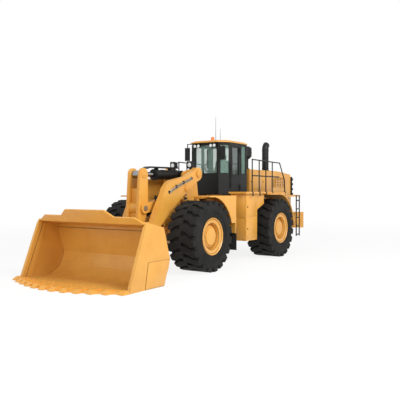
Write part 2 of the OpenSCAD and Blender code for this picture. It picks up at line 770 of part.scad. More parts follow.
module lever_pin() {
  color(steel) cross_pin(C, arm_pin_r, -lever_half_w - 100, lever_half_w + 100);
}

module tilt_lever() {
  color(yellow) difference() {
    union() {
      both_sides() side_plate(concat(
        arc(D, 175, 10, 175, 10),
        [[C[0] - 210, C[1] + 100]], arc(E, 130, 200, 340, 6), [[C[0] + 220, C[1]]]),
        ear_in_y, lever_half_w);
      // Hub and webs between the two ears
      cross_pin(C, 190, -lever_half_w, lever_half_w);
      block([C[0] - 120, -ear_in_y, C[1] + 100], [C[0] + 60, ear_in_y, C[1] + 560]);
      block([C[0] - 60, -ear_in_y, C[1] - 620], [C[0] + 120, ear_in_y, C[1] - 100]);
    }
    cross_pin(C, arm_pin_r + pin_gap, -lever_half_w - 1, lever_half_w + 1);
    cross_pin(E, link_pin_r + pin_gap, -lever_half_w - 1, lever_half_w + 1);
  }
}

module link_pin() {
  color(steel) cross_pin(E, link_pin_r, -lever_half_w - 10, lever_half_w + 10);
}

module tilt_link() {
  half = ear_in_y - 20;
  color(yellow) difference() {
    union() {
      cross_pin(E, 110, -half, half);
      cross_pin(F, 80, -half, half);
      side_plate([E + [0, -80], F + [0, -80], F + [0, 80], E + [0, 80]], -half, half);
      cross_pin(F, link_pin_r, -ear_in_y + side_gap, ear_in_y - side_gap);
    }
    cross_pin(E, link_pin_r + pin_gap, -half - 1, half + 1);
  }
}

// Draws its children along the line from one side-view point to another, with X along that line
module along(from, to) {
  way = to - from;
  translate([from[0], 0, from[1]]) rotate([0, -atan2(way[1], way[0]), 0]) children();
}

tilt_len = norm(D - G);
tilt_barrel_len = 1250;
// Length of the rod inside the barrel at rest, which leaves room for its stroke
tilt_rod_in = 450;
guard_z = tilt_barrel_d / 2 + 70;

module tilt_barrel() {
  color(black) along(G, D) difference() {
    union() {
      rotate([90, 0, 0]) translate([0, 0, -ear_in_y]) cylinder(r = 140, h = 2 * ear_in_y);
      block([0, -100, -100], [260, 100, 100]);
      translate([200, 0, 0]) rotate([0, 90, 0]) cylinder(d = tilt_barrel_d, h = tilt_barrel_len - 200);
      translate([tilt_barrel_len - 120, 0, 0]) rotate([0, 90, 0]) cylinder(d = tilt_barrel_d + 40, h = 120);
      // Hose guard on two feet
      for (x = [420, 1080]) block([x, -60, 100], [x + 60, 60, guard_z]);
      side_plate([[150, guard_z - 20], [1500, guard_z - 20], [1640, guard_z - 60], [1660, guard_z - 30], [1520, guard_z + 20], [150, guard_z + 20]], -110, 110);
    }
    rotate([90, 0, 0]) cylinder(r = 65 + pin_gap, h = 1000, center = true);
    translate([320, 0, 0]) rotate([0, 90, 0]) cylinder(r = 75 + pin_gap, h = tilt_barrel_len);
  }
}

module tilt_rod() {
  color(steel) along(G, D) {
    translate([tilt_barrel_len - tilt_rod_in, 0, 0]) rotate([0, 90, 0]) cylinder(r = 75, h = tilt_len - tilt_barrel_len + tilt_rod_in);
    translate([tilt_len, 0, 0]) rotate([90, 0, 0]) translate([0, 0, -ear_in_y + side_gap]) cylinder(r = 110, h = 2 * (ear_in_y - side_gap));
  }
}

lift_len = norm(P - H);
lift_barrel_len = 1180;

module lift_barrels() {
  color(yellow) both_sides() translate([0, cylinder_y, 0]) along(H, P) difference() {
    union() {
      rotate([90, 0, 0]) translate([0, 0, -95]) cylinder(r = 120, h = 190);
      translate([60, 0, 0]) rotate([0, 90, 0]) cylinder(d = lift_barrel_d, h = lift_barrel_len - 60);
    }
    rotate([90, 0, 0]) cylinder(r = 70 + pin_gap, h = 1000, center = true);
    translate([125, 0, 0]) rotate([0, 90, 0]) cylinder(r = 58 + pin_gap, h = lift_barrel_len);
  }
}

module lift_rods() {
  color(steel) both_sides() translate([0, cylinder_y, 0]) along(H, P) {
    translate([165, 0, 0]) rotate([0, 90, 0]) cylinder(r = 58, h = lift_len - 165);
    translate([lift_len, 0, 0]) rotate([90, 0, 0]) translate([0, 0, -59]) cylinder(r = 95, h = 118);
  }
}

// Draws its children along a steering cylinder, with X from its rear pin towards its front pin
module along_steer(side) {
  way = S_front - S_rear;
  translate([S_rear[0], side * S_rear[1], steer_z]) rotate([0, 0, side * atan2(way[1], way[0])]) children();
}

steer_len = norm(S_front - S_rear);
steer_barrel_len = 860;

module steer_barrel(side) {
  color(black) along_steer(side) difference() {
    union() {
      translate([0, 0, -75]) cylinder(r = 80, h = 150);
      translate([40, 0, 0]) rotate([0, 90, 0]) cylinder(d = steer_barrel_d, h = steer_barrel_len - 40);
    }
    translate([0, 0, -200]) cylinder(r = 45 + pin_gap, h = 400);
    translate([100, 0, 0]) rotate([0, 90, 0]) cylinder(r = 40 + pin_gap, h = steer_barrel_len);
  }
}

module steer_rod(side) {
  color(steel) along_steer(side) {
    translate([steer_barrel_len - 350, 0, 0]) rotate([0, 90, 0]) cylinder(r = 40, h = steer_len - steer_barrel_len + 350);
    translate([steer_len, 0, -75]) cylinder(r = 75, h = 150);
  }
}

// Bucket

bucket_half_w = bucket_w / 2;
heel_c = [B[0] + 800, heel_r];
back_top = [4835, 1445];
lip_top = [5480, 1590];

function bucket_profile(inset) = concat(
  [[bucket_lip_x, inset]],
  arc(heel_c, heel_r - inset, 270, 180, 10),
  [back_top + inset * [0.8, -0.85], lip_top + inset * [0.2, -0.98]]);

// The open bowl, out to well beyond the lip
module bucket_bowl(y) {
  side_plate(concat(bucket_profile(shell_t), [lip_top + [2000, -shell_t], [bucket_lip_x + 1500, shell_t]]), -y, y);
}

module bucket() {
  lug_t = 80;
  side_t = 50;
  shell = concat([[bucket_lip_x, 0]], arc(heel_c, heel_r, 270, 180, 10), [back_top, lip_top, lip_top + [30, -shell_t]]);
  side = [[bucket_lip_x, 0], [4822, 0], [4584, 641], back_top, lip_top, [lip_top[0] + 60, lip_top[1] - 90]];
  color(yellow) difference() {
    union() {
      difference() {
        union() {
          // Shell: floor, heel, back and roof
          side_plate(concat(shell, [[bucket_lip_x, shell_t]]), -bucket_half_w, bucket_half_w);
          // Lugs for the arm pins and the tilt link
          both_sides() {
            for (y = [arm_in_y - side_gap - lug_t, arm_in_y + arm_t + side_gap])
              side_plate(concat(arc(B, 140, 100, 250, 8), [[4790, 250], [4730, 900]]), y, y + lug_t);
            side_plate(concat(arc(F, 120, 90, 250, 8), [[4700, 700], [4800, 1150]]), ear_in_y, ear_in_y + lug_t);
          }
        }
        bucket_bowl(bucket_half_w + 1);
      }
      // Side plates
      both_sides() side_plate(side, bucket_half_w - side_t, bucket_half_w);
      // Side cutters along the front edges
      both_sides() side_plate([[bucket_lip_x, 0], [bucket_lip_x - 330, 0], [lip_top[0] - 200, lip_top[1] - 120], [lip_top[0] + 60, lip_top[1] - 90]],
                              bucket_half_w - side_t - 25, bucket_half_w + 12);
      // Gussets behind the roof
      both_sides() for (y = [bucket_half_w - 500, 1000])
        side_plate([[4770, 1210], [4790, 1500], [4860, 1560], [lip_top[0] - 130, lip_top[1] + 10], [lip_top[0] - 300, lip_top[1] - 90], [4850, 1440]], y, y + 40);
      // Spill guard along the lip
      translate([lip_top[0] - 30, 0, lip_top[1] - 40]) rotate([0, 30, 0]) rotate([0, 0, 90]) rotate([90, 0, 0])
        linear_extrude(shell_t) polygon([
          [-bucket_half_w + 30, 0], [bucket_half_w - 30, 0], [bucket_half_w - 330, 190], [950, 190], [700, guard_rise],
          [-700, guard_rise], [-950, 190], [-bucket_half_w + 330, 190]]);
    }
    both_sides() cross_pin(B, bucket_pin_r + pin_gap, arm_in_y - 200, arm_in_y + arm_t + 200);
  }
}

edge_corner_x = bucket_lip_x + 60;
edge_half_w = bucket_half_w + 20;
edge_back_x = bucket_lip_x + seat_gap;
tooth_count = 12;

// Forward reach of the cutting edge at a distance from the middle
function edge_x(y) = nose_x - (nose_x - edge_corner_x) * pow(abs(y) / edge_half_w, nose_full);

module cutting_edge() {
  color(yellow) {
    steps = 24;
    linear_extrude(edge_t) polygon(concat(
      [[edge_back_x, -edge_half_w]],
      [for (i = [0:steps]) let (y = edge_half_w * (2 * i / steps - 1)) [edge_x(y), y]],
      [[edge_back_x, edge_half_w]]));
    for (i = [0:tooth_count - 1]) {
      y = (i - (tooth_count - 1) / 2) * (2 * edge_half_w - 170) / (tooth_count - 1);
      back = min(220, edge_x(y) - edge_back_x);
      translate([edge_x(y), 0, 0])
        side_plate([[-back, edge_t - 1], [-back + 20, edge_t + 30], [-20, edge_t + 30], [tooth_reach, 26], [tooth_reach, 0], [-back, 0]], y - 80, y + 80);
    }
  }
}

// Every node, moved from the hitch frame to the machine's own origin

module place() { translate([-origin_x, 0, 0]) children(); }

place() rear_frame();
place() counterweight();
place() engine();
place() hood();
place() radiator_grille();
place() exhaust_stack();
place() air_precleaner();
place() cab_shell();
place() cab_glass();
place() cab_roof();
place() cab_interior();
place() cab_door();
place() door_glass();
place() roof_beacon();
place() antennas();
place() work_lamps();
place() mirrors();
place() decks();
place() handrails();
place() side_tanks();
place() rear_fenders();
place() rear_ladder();
place() drivetrain();
place() axle(rear_axle_x, pad_top_z - seat_gap, drop_box_x - seat_gap);  // rear_axle
place() axle(front_x, pad_top_z - seat_gap, 160);  // front_axle
place() front_frame();
place() front_fenders();
place() mud_flaps();
place() front_lamps();
place() lift_arms();
place() bucket_pins();
place() bucket();
place() cutting_edge();
place() lever_pin();
place() tilt_lever();
place() link_pin();
place() tilt_link();
place() tilt_barrel();
place() tilt_rod();
place() lift_barrels();
place() lift_rods();
place() steer_barrel(1);  // steer_barrel_left
place() steer_rod(1);  // steer_rod_left
place() steer_barrel(-1);  // steer_barrel_right
place() steer_rod(-1);  // steer_rod_right
place() wheel(front_x, 1);  // wheel_front_left
place() wheel(front_x, -1);  // wheel_front_right
place() wheel(rear_axle_x, 1);  // wheel_rear_left
place() wheel(rear_axle_x, -1);  // wheel_rear_right
place() tyre(front_x, 1);  // tyre_front_left
place() tyre(front_x, -1);  // tyre_front_right
place() tyre(rear_axle_x, 1);  // tyre_rear_left
place() tyre(rear_axle_x, -1);  // tyre_rear_right
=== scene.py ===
# %% [markdown]
# A large articulated wheel loader, dressed in Blender.
# The frame of solids comes in first: every plate, pin, wheel and cylinder is already there at its real
# size. This lesson then sets the camera, the finishes and the light, and adds the small fittings that a
# solid model leaves out: wheel nuts, pin caps, hoses, seals, lamp lenses, latches and wear plates.

# %% Load the frame
import json
import math

import bpy
from mathutils import Matrix, Vector


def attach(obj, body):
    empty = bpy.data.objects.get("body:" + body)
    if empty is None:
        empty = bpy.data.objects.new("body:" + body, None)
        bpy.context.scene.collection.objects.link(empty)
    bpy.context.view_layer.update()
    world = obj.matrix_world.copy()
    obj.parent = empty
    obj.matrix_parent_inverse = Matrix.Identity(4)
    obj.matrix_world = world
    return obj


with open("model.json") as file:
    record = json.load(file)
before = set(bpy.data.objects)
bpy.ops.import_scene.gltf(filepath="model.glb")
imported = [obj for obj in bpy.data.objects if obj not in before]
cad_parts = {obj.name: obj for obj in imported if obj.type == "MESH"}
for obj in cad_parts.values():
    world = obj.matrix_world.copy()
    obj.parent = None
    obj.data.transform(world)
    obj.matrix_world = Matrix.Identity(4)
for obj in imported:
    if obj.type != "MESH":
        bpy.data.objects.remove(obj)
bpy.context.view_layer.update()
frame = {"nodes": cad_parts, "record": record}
nodes = frame["nodes"]
print("frame nodes:", len(nodes))

# %% [markdown]
# The drawing of the machine counts its lengths from the articulation pin, while the frame's origin is the
# middle of its plan. One small function turns a drawing place in millimetres into a place in this scene,
# so that the rest of the lesson can use the numbers of a workshop drawing.

# %% Places
MM = 1000
# The pin stands this many metres behind the frame's origin
HITCH_X = 0.725


def at(x, y, z):
    """A place measured from the articulation pin in millimetres, as scene metres."""
    return Vector((x / MM - HITCH_X, y / MM, z / MM))


print("articulation pin at", [round(v, 3) for v in at(0, 0, 0)])

# %% [markdown]
# The camera stands ahead and to the left of the machine, about 2.3 m above the ground.
# Its place and focal length come from matching the four wheels and the bucket in the photograph, which is
# surer than moving it by eye, because wheels are round and stand on one plane.

# %% Camera
CAMERA_PLACE = (15165, 9941, 2314)
# Degrees: where it looks in plan, counted from straight ahead, and how far it looks down
CAMERA_HEADING = 213.9
CAMERA_DIP = 0.84
FOCAL_LENGTH = 47.72
SENSOR_WIDTH = 36
FAR_CLIP = 500
camera_data = bpy.data.cameras.new("camera")
camera_data.lens = FOCAL_LENGTH
camera_data.sensor_width = SENSOR_WIDTH
camera_data.clip_end = FAR_CLIP
camera = bpy.data.objects.new("camera", camera_data)
camera.location = at(*CAMERA_PLACE)
camera.rotation_euler = (math.radians(90 - CAMERA_DIP), 0, math.radians(CAMERA_HEADING - 90))
bpy.context.scene.collection.objects.link(camera)
bpy.context.scene.camera = camera
bpy.context.scene.view_settings.view_transform = "Standard"
print("camera at", [round(v, 2) for v in camera.location])

# %% [markdown]
# A material is a small tree of nodes. One helper adds a node, sets its values and links what feeds it.
# Colours are written as the hex values that a paint chart gives, and are turned to linear light once.
# A pattern's scale is worked out from the size of its detail in millimetres.

# %% Node helper, colour and pattern scale


def linear(code):
    """An sRGB hex colour as linear red, green, blue and alpha."""
    parts = [int(code[i:i + 2], 16) / 255 for i in (1, 3, 5)]
    return [c / 12.92 if c <= 0.04045 else ((c + 0.055) / 1.055) ** 2.4 for c in parts] + [1.0]


def per_metre(size):
    """How often a detail of some size in millimetres repeats in a metre, which is a pattern's scale."""
    return MM / size


def add(tree, kind, settings=None, **inputs):
    """Adds a node. Settings are its own properties; each input is a value or a socket that feeds it.

    An input is given by its name, or as n and its number where several have the same name.
    """
    node = tree.nodes.new("ShaderNode" + kind)
    for key, value in (settings or {}).items():
        setattr(node, key, value)
    for key, value in inputs.items():
        name = key.replace("_", " ")
        numbered = name[0] == "n" and name[1:].isdigit()
        socket = node.inputs[int(name[1:])] if numbered else node.inputs[name]
        if isinstance(value, bpy.types.NodeSocket):
            tree.links.new(value, socket)
        else:
            socket.default_value = value
    return node


def new_material(name):
    """A material with a Principled shader on its output: the material, its tree and the shader."""
    material = bpy.data.materials.new(name)
    material.use_nodes = True
    tree = material.node_tree
    tree.nodes.clear()
    shader = add(tree, "BsdfPrincipled")
    add(tree, "OutputMaterial", Surface=shader.outputs[0])
    return material, tree, shader


def set_ramp(ramp, stops):
    """Gives a colour ramp its stops, each a place and a hex colour."""
    elements = ramp.color_ramp.elements
    while len(elements) < len(stops):
        elements.new(0.5)
    for element, (place, colour) in zip(elements, stops):
        element.position = place
        element.color = linear(colour)


print("mid grey in linear light:", round(linear("#808080")[0], 3))

# %% [markdown]
# Enamel on welded plate: two coats sprayed on steel. The eye sees a faint orange-peel ripple, soft blotches
# of sun-bleached and fresher colour about half a metre wide, and dust that gathers low down. A plain colour
# would look like plastic, so each of these is a noise pattern at its own size.

# %% Painted steel
# Metres above the ground where the dust film ends
DUST_TOP = 1.6


def enamel(name, base, shade, dusty, roughness, dust_amount, gloss=0.5):
    """Sprayed enamel: two close tones, the dust's colour, and shares from 0 to 1."""
    material, tree, shader = new_material(name)
    place = add(tree, "TexCoord").outputs["Object"]
    # Blotches half a metre wide
    blotch = add(tree, "TexNoise", Vector=place, Scale=per_metre(500), Detail=4.0, Roughness=0.6)
    tone = add(tree, "ValToRGB", Fac=blotch.outputs["Fac"])
    set_ramp(tone, [(0.3, shade), (0.7, base)])
    # Dust film: stronger near the ground, broken up by 125 mm patches
    height = add(tree, "SeparateXYZ", Vector=place)
    low = add(tree, "MapRange", Value=height.outputs["Z"], n1=DUST_TOP, n2=0.0, n3=0.0, n4=1.0)
    patch = add(tree, "TexNoise", Vector=place, Scale=per_metre(125), Detail=6.0, Roughness=0.7)
    dust = add(tree, "Math", {"operation": "MULTIPLY"}, n0=low.outputs[0], n1=patch.outputs["Fac"])
    film = add(tree, "Math", {"operation": "MULTIPLY"}, n0=dust.outputs[0], n1=dust_amount)
    colour = add(tree, "MixRGB", Fac=film.outputs[0], Color1=tone.outputs[0], Color2=linear(dusty))
    tree.links.new(colour.outputs[0], shader.inputs["Base Color"])
    # The patches are also a little duller or smoother than the rest
    rough = add(tree, "MapRange", Value=patch.outputs["Fac"], n1=0.3, n2=0.7,
                n3=roughness - 0.06, n4=roughness + 0.1)
    tree.links.new(rough.outputs[0], shader.inputs["Roughness"])
    # Orange peel is 2 or 3 mm across on real paint, and drawn at 12.5 mm so that it can show here
    peel = add(tree, "TexNoise", Vector=place, Scale=per_metre(12.5), Detail=2.0)
    bump = add(tree, "Bump", Strength=0.06, Distance=0.004, Height=peel.outputs["Fac"])
    tree.links.new(bump.outputs[0], shader.inputs["Normal"])
    shader.inputs["Specular IOR Level"].default_value = gloss
    shader.inputs["Coat Weight"].default_value = 0.3 * gloss
    shader.inputs["Coat Roughness"].default_value = 0.2
    return material


yellow_enamel = enamel("yellow_enamel_on_steel", "#D99E42", "#CF9238", "#B29462", 0.38, 0.35)
charcoal_enamel = enamel("charcoal_enamel_on_steel", "#151615", "#101110", "#4A463F", 0.45, 0.2, gloss=0.25)
black_enamel = enamel("black_powder_coat", "#131414", "#0E0F0F", "#4A453D", 0.5, 0.2, gloss=0.25)
print("enamels:", yellow_enamel.name, charcoal_enamel.name, black_enamel.name)

# %% [markdown]
# Tyres and flaps are carbon black compound pressed in a mould, and hoses take their grain from the cloth they
# are cured in. All are matte, with a fine grain and a grey bloom. Dust stays in the grain, so the colour
# wanders between black and a warm dark grey.

# %% Rubber


def rubber(name, dark, bloom, grain):
    """Matte rubber between a dark tone and its bloom, with a grain of some millimetres."""
    material, tree, shader = new_material(name)
    place = add(tree, "TexCoord").outputs["Object"]
    # Clouds of bloom, a third of a metre wide
    cloud = add(tree, "TexNoise", Vector=place, Scale=per_metre(MM / 3), Detail=6.0, Roughness=0.65)
    tone = add(tree, "ValToRGB", Fac=cloud.outputs["Fac"])
    set_ramp(tone, [(0.35, dark), (0.75, bloom)])
    tree.links.new(tone.outputs[0], shader.inputs["Base Color"])
    pits = add(tree, "TexNoise", Vector=place, Scale=per_metre(grain), Detail=3.0)
    bump = add(tree, "Bump", Strength=0.25, Distance=0.003, Height=pits.outputs["Fac"])
    tree.links.new(bump.outputs[0], shader.inputs["Normal"])
    shader.inputs["Roughness"].default_value = 0.78
    shader.inputs["Specular IOR Level"].default_value = 0.2
    return material


# The real grain is about a millimetre; it is drawn coarser so that it can show
tyre_rubber = rubber("tyre_rubber", "#171716", "#282725", grain=14)
flap_rubber = rubber("flap_rubber", "#1F1F1F", "#31302E", grain=10)
hose_rubber = rubber("braided_hose_cover", "#1B1B1B", "#2C2B2A", grain=6)
print("rubbers:", tyre_rubber.name, flap_rubber.name, hose_rubber.name)

# %% [markdown]
# Bare metals: hard chrome on the cylinder rods, ground steel on the pins, zinc on the tubes and silver on
# the mirrors. The eye knows them by how sharp their reflections are, so a streaky noise varies the roughness
# and nothing else. The cutting edge is different: its paint is rubbed thin, scratched and dusty.

# %% Bare metals and the worn edge


def bare_metal(name, colour, roughness, streaks):
    """A plated or ground metal. Streaks are counted in a metre along each axis."""
    material, tree, shader = new_material(name)
    place = add(tree, "TexCoord").outputs["Object"]
    stretched = add(tree, "Mapping", Vector=place, Scale=streaks)
    streak = add(tree, "TexNoise", Vector=stretched.outputs[0], Scale=1.0, Detail=5.0)
    rough = add(tree, "MapRange", Value=streak.outputs["Fac"], n1=0.3, n2=0.7,
                n3=roughness * 0.7, n4=roughness * 1.4)
    tree.links.new(rough.outputs[0], shader.inputs["Roughness"])
    shader.inputs["Base Color"].default_value = linear(colour)
    shader.inputs["Metallic"].default_value = 1.0
    return material


# Rods, tubes and mirrors have soft patches of 17, 33 and 200 mm, pins grinding marks of 25 by 2.5 mm
rod_chrome = bare_metal("hard_chrome_plate", "#9A9DA2", 0.14, (60, 60, 60))
pin_steel = bare_metal("ground_pin_steel", "#9A9B9C", 0.32, (40, 400, 40))
mirror_glass = bare_metal("silvered_mirror", "#DADDDF", 0.03, (5, 5, 5))
bright_tube = bare_metal("zinc_plated_tube", "#A8A498", 0.34, (30, 30, 30))


def scoured_plate(name):
    """Painted plate that gravel has scoured, with long scratches and patches of dried dust."""
    material, tree, shader = new_material(name)
    place = add(tree, "TexCoord").outputs["Object"]
    # Patches a seventh of a metre wide
    patch = add(tree, "TexNoise", Vector=place, Scale=per_metre(MM / 7), Detail=8.0, Roughness=0.7)
    tone = add(tree, "ValToRGB", Fac=patch.outputs["Fac"])
    set_ramp(tone, [(0.3, "#D89A40"), (0.6, "#E2A548"), (0.85, "#A58A5E")])
    tree.links.new(tone.outputs[0], shader.inputs["Base Color"])
    # Scratches run along the machine, about 125 mm long and 8 mm wide, wide enough to show
    along = add(tree, "Mapping", Vector=place, Scale=(4, 60, 60))
    scratch = add(tree, "TexNoise", Vector=along.outputs[0], Scale=2.0, Detail=6.0)
    bump = add(tree, "Bump", Strength=0.2, Distance=0.004, Height=scratch.outputs["Fac"])
    tree.links.new(bump.outputs[0], shader.inputs["Normal"])
    shader.inputs["Roughness"].default_value = 0.46
    shader.inputs["Metallic"].default_value = 0.15
    return material


edge_plate = scoured_plate("scoured_edge_plate")
print("metals:", rod_chrome.name, pin_steel.name, mirror_glass.name, bright_tube.name, edge_plate.name)

# %% [markdown]
# Cab glass is tinted safety glass: thin, slightly green and almost clear. A low alpha keeps the seat and the
# far window in view without the cost of true refraction, which a thin flat pane hardly shows.
# Lenses and vinyl are moulded: one even colour, with a fine grain and a roughness that wanders. The same
# shader in a dark brown is painted shadow in the seams of the bucket and the gaps of the rims.

# %% Glass and moulded plastic


def tinted_glass(name, tint, cover):
    """A smooth pane that hides what is behind it by a share from 0 to 1."""
    material, _, shader = new_material(name)
    shader.inputs["Base Color"].default_value = linear(tint)
    shader.inputs["Roughness"].default_value = 0.04
    shader.inputs["IOR"].default_value = 1.5
    shader.inputs["Alpha"].default_value = cover
    material.surface_render_method = "BLENDED"
    return material


def moulded_plastic(name, colour, roughness, grain):
    """Moulded plastic or vinyl with a grain of some millimetres; also painted shadow in seams and gaps."""
    material, tree, shader = new_material(name)
    place = add(tree, "TexCoord").outputs["Object"]
    pebble = add(tree, "TexVoronoi", Vector=place, Scale=per_metre(grain))
    bump = add(tree, "Bump", Strength=0.1, Distance=0.001, Height=pebble.outputs["Distance"])
    tree.links.new(bump.outputs[0], shader.inputs["Normal"])
    cloud = add(tree, "TexNoise", Vector=place, Scale=per_metre(200), Detail=3.0)
    rough = add(tree, "MapRange", Value=cloud.outputs["Fac"], n1=0.3, n2=0.7,
                n3=roughness - 0.05, n4=roughness + 0.08)
    tree.links.new(rough.outputs[0], shader.inputs["Roughness"])
    shader.inputs["Base Color"].default_value = linear(colour)
    return material


cab_tint = tinted_glass("tinted_safety_glass", "#9FC4B6", cover=0.22)
# Tinted glass made darker and less clear, as painted shade for the dark cab inside behind the door
door_glass_painted_shade = tinted_glass("door_glass_with_painted_shade", "#3E4A46", cover=0.62)
amber_lens = moulded_plastic("amber_polycarbonate", "#F07C1E", 0.2, grain=8)
clear_lens = moulded_plastic("clear_polycarbonate_lens", "#DDE3E4", 0.12, grain=12)
red_lens = moulded_plastic("red_polycarbonate", "#B3201A", 0.2, grain=8)
seat_vinyl = moulded_plastic("seat_vinyl", "#232426", 0.6, grain=3)
# Dark brown painted shadow for the bucket's seams and the gaps of the rims' lock rings
gap_shadow_paint = moulded_plastic("painted_gap_shadow", "#4A3216", 0.7, grain=8)
print("panes:", cab_tint.name, door_glass_painted_shade.name)

# %% [markdown]
# Tread plate is steel rolled between patterned rolls, so that small lozenges stand up from it and a boot
# holds. Modelling each one would take thousands of faces; a bump from an even cell pattern, turned by 45
# degrees, gives the eye the same glints.

# %% Tread plate


def rolled_tread(name, base):
    """Rolled steel with raised lozenges, 34 to a metre."""
    material, tree, shader = new_material(name)
    place = add(tree, "TexCoord").outputs["Object"]
    turned = add(tree, "Mapping", Vector=place, Rotation=(0, 0, math.radians(45)))
    lozenge = add(tree, "TexVoronoi", {"feature": "F1"}, Vector=turned.outputs[0], Scale=per_metre(MM / 34),
                  Randomness=0.0)
    bump = add(tree, "Bump", Strength=0.6, Distance=0.003, Height=lozenge.outputs["Distance"])
    tree.links.new(bump.outputs[0], shader.inputs["Normal"])
    shader.inputs["Base Color"].default_value = linear(base)
    shader.inputs["Roughness"].default_value = 0.5
    return material


tread_plate = rolled_tread("rolled_tread_plate", "#3A3834")
print("materials:", len(bpy.data.materials))

# %% [markdown]
# Each solid of the frame now gets its finish. A solid keeps its shape; only its material slot changes.
# The slots are named in the frame's record, so one table of slot and finish dresses all of them.

# %% Finishes on the frame's solids
finish_of_slot = {
    "yellow_paint": yellow_enamel,
    "dark_paint": charcoal_enamel,
    "black_paint": black_enamel,
    "tyre_rubber": tyre_rubber,
    "flap_rubber": flap_rubber,
    "rod_chrome": rod_chrome,
    "pin_steel": pin_steel,
    "window_glass": cab_tint,
    "beacon_amber": amber_lens,
    "seat_plastic": seat_vinyl,
    "edge_steel": edge_plate,
}
for part in frame["record"]["subparts"]:
    solid = nodes[part["node"]]
    solid.data.materials.clear()
    solid.data.materials.append(finish_of_slot[part["material_slot"]])
# The door's pane lies before the dark inside of the cab; its glass is made darker and less clear than the
# others, as painted shade for that dark inside
nodes["door_glass"].data.materials[0] = door_glass_painted_shade

# %% [markdown]
# Blender's operators work on what is selected and active, as the menus do. Three small functions take care
# of that: one selects a single piece, one puts a new primitive's place into its mesh, and one applies a
# modifier at once, so that every finished piece is a plain mesh at the origin.

# %% Selecting, applying and modifying


def only(piece):
    """Selects one object and makes it active, since operators work on the selection."""
    bpy.ops.object.select_all(action="DESELECT")
    piece.select_set(True)
    bpy.context.view_layer.objects.active = piece


def applied():
    """The new primitive with its place, turn and size put into its mesh."""
    bpy.ops.object.transform_apply(location=True, rotation=True, scale=True)
    return bpy.context.object


def modify(piece, kind, **settings):
    """Adds a modifier, sets it and applies it."""
    only(piece)
    step = piece.modifiers.new(kind.lower(), kind)
    for key, value in settings.items():
        setattr(step, key, value)
    bpy.ops.object.modifier_apply(modifier=step.name)


# %% [markdown]
# Every fitting below starts as a primitive and is then shaped: scaled and bevelled like a machined block,
# turned like a disc, rolled like a ring or flame-cut like a plate. Sharp edges look drawn, since real ones
# catch the light, so every block, disc and plate has its edges rounded by a bevel of a few millimetres.

# %% Blocks, discs, rings and plates
ROUNDING = {"segments": 2, "limit_method": "ANGLE"}


def box(low, high, turn=(0, 0, 0)):
    """A sharp box between two corners in drawing millimetres."""
    a, b = at(*low), at(*high)
    bpy.ops.object.select_all(action="DESELECT")
    bpy.ops.mesh.primitive_cube_add(size=1, location=(a + b) / 2, rotation=turn)
    bpy.context.object.scale = [abs(v) for v in b - a]
    return applied()


def block(low, high, round_mm=4, s=1):
    """A box with its edges rounded off, on the machine's left or with s of -1 on its right."""
    piece = box((low[0], s * low[1], low[2]), (high[0], s * high[1], high[2]))
    modify(piece, "BEVEL", width=round_mm / MM, **ROUNDING)
    return piece


def disc(foot, way, radius, height, round_mm=3, sides=32):
    """A turned disc or bar: the centre of its foot, the way it points, and its sizes in millimetres."""
    way = Vector(way).normalized()
    centre = at(*foot) + way * height / (2 * MM)
    bpy.ops.object.select_all(action="DESELECT")
    bpy.ops.mesh.primitive_cylinder_add(vertices=sides, radius=radius / MM, depth=height / MM,
                                        location=centre, rotation=way.to_track_quat("Z", "Y").to_euler())
    piece = applied()
    modify(piece, "BEVEL", width=round_mm / MM, angle_limit=math.radians(50), **ROUNDING)
    return piece


def ring(centre, radius, thick, turn=(0, 0, 0), around=48, across=12):
    """A round ring: its centre and both radii in millimetres, its turn, and its facets."""
    bpy.ops.object.select_all(action="DESELECT")
    bpy.ops.mesh.primitive_torus_add(major_radius=radius / MM, minor_radius=thick / MM, location=at(*centre),
                                     rotation=turn, major_segments=around, minor_segments=across)
    return applied()


def cut_plate(outline, y_foot, thickness, round_mm=2):
    """A flame-cut plate: an outline of forward and up places, standing off a plane across the machine."""
    bpy.ops.object.select_all(action="DESELECT")
    bpy.ops.mesh.primitive_circle_add(vertices=len(outline), fill_type="NGON")
    piece = bpy.context.object
    for vertex, (x, z) in zip(piece.data.vertices, outline):
        vertex.co = at(x, y_foot, z)
    bpy.ops.object.mode_set(mode="EDIT")
    bpy.ops.mesh.select_all(action="SELECT")
    bpy.ops.mesh.extrude_region_move(TRANSFORM_OT_translate={"value": (0, thickness / MM, 0)})
    bpy.ops.mesh.select_all(action="SELECT")
    bpy.ops.mesh.normals_make_consistent(inside=False)
    bpy.ops.object.mode_set(mode="OBJECT")
    modify(piece, "BEVEL", width=round_mm / MM, **ROUNDING)
    return piece


print("shapes: block, disc, ring and plate")

# %% [markdown]
# Tubes, hoses, seals and welds are all one round section along a path. A mesh could be extruded from point
# to point, but a curve with a round bevel keeps the section even in the bends, and is then made a mesh.

# %% Tubes and hoses


def swept(points, radius, closed=False, smooth=True):
    """A tube through places in drawing millimetres, with smooth bends or straight runs."""
    path = bpy.data.curves.new("path", "CURVE")
    path.dimensions = "3D"
    path.bevel_depth = radius / MM
    path.bevel_resolution = 3
    path.use_fill_caps = True
    path.resolution_u = 8
    line = path.splines.new("BEZIER" if smooth else "POLY")
    spots = line.bezier_points if smooth else line.points
    spots.add(len(points) - 1)
    for spot, place in zip(spots, points):
        if smooth:
            spot.co = at(*place)
            spot.handle_left_type = "AUTO"
            spot.handle_right_type = "AUTO"
        else:
            spot.co = at(*place).to_4d()
    line.use_cyclic_u = closed
    piece = bpy.data.objects.new("path", path)
    bpy.context.scene.collection.objects.link(piece)
    only(piece)
    bpy.ops.object.convert(target="MESH")
    return bpy.context.object


def bar(a, b, radius):
    """A straight round bar between two places."""
    return swept([a, b], radius, smooth=False)


def on_side(route, s, drop=0):
    """A route on the machine's left, or with s of -1 on its right, lowered by some millimetres."""
    return [(x, s * y, z - drop) for x, y, z in route]


print("paths: tube and bar")

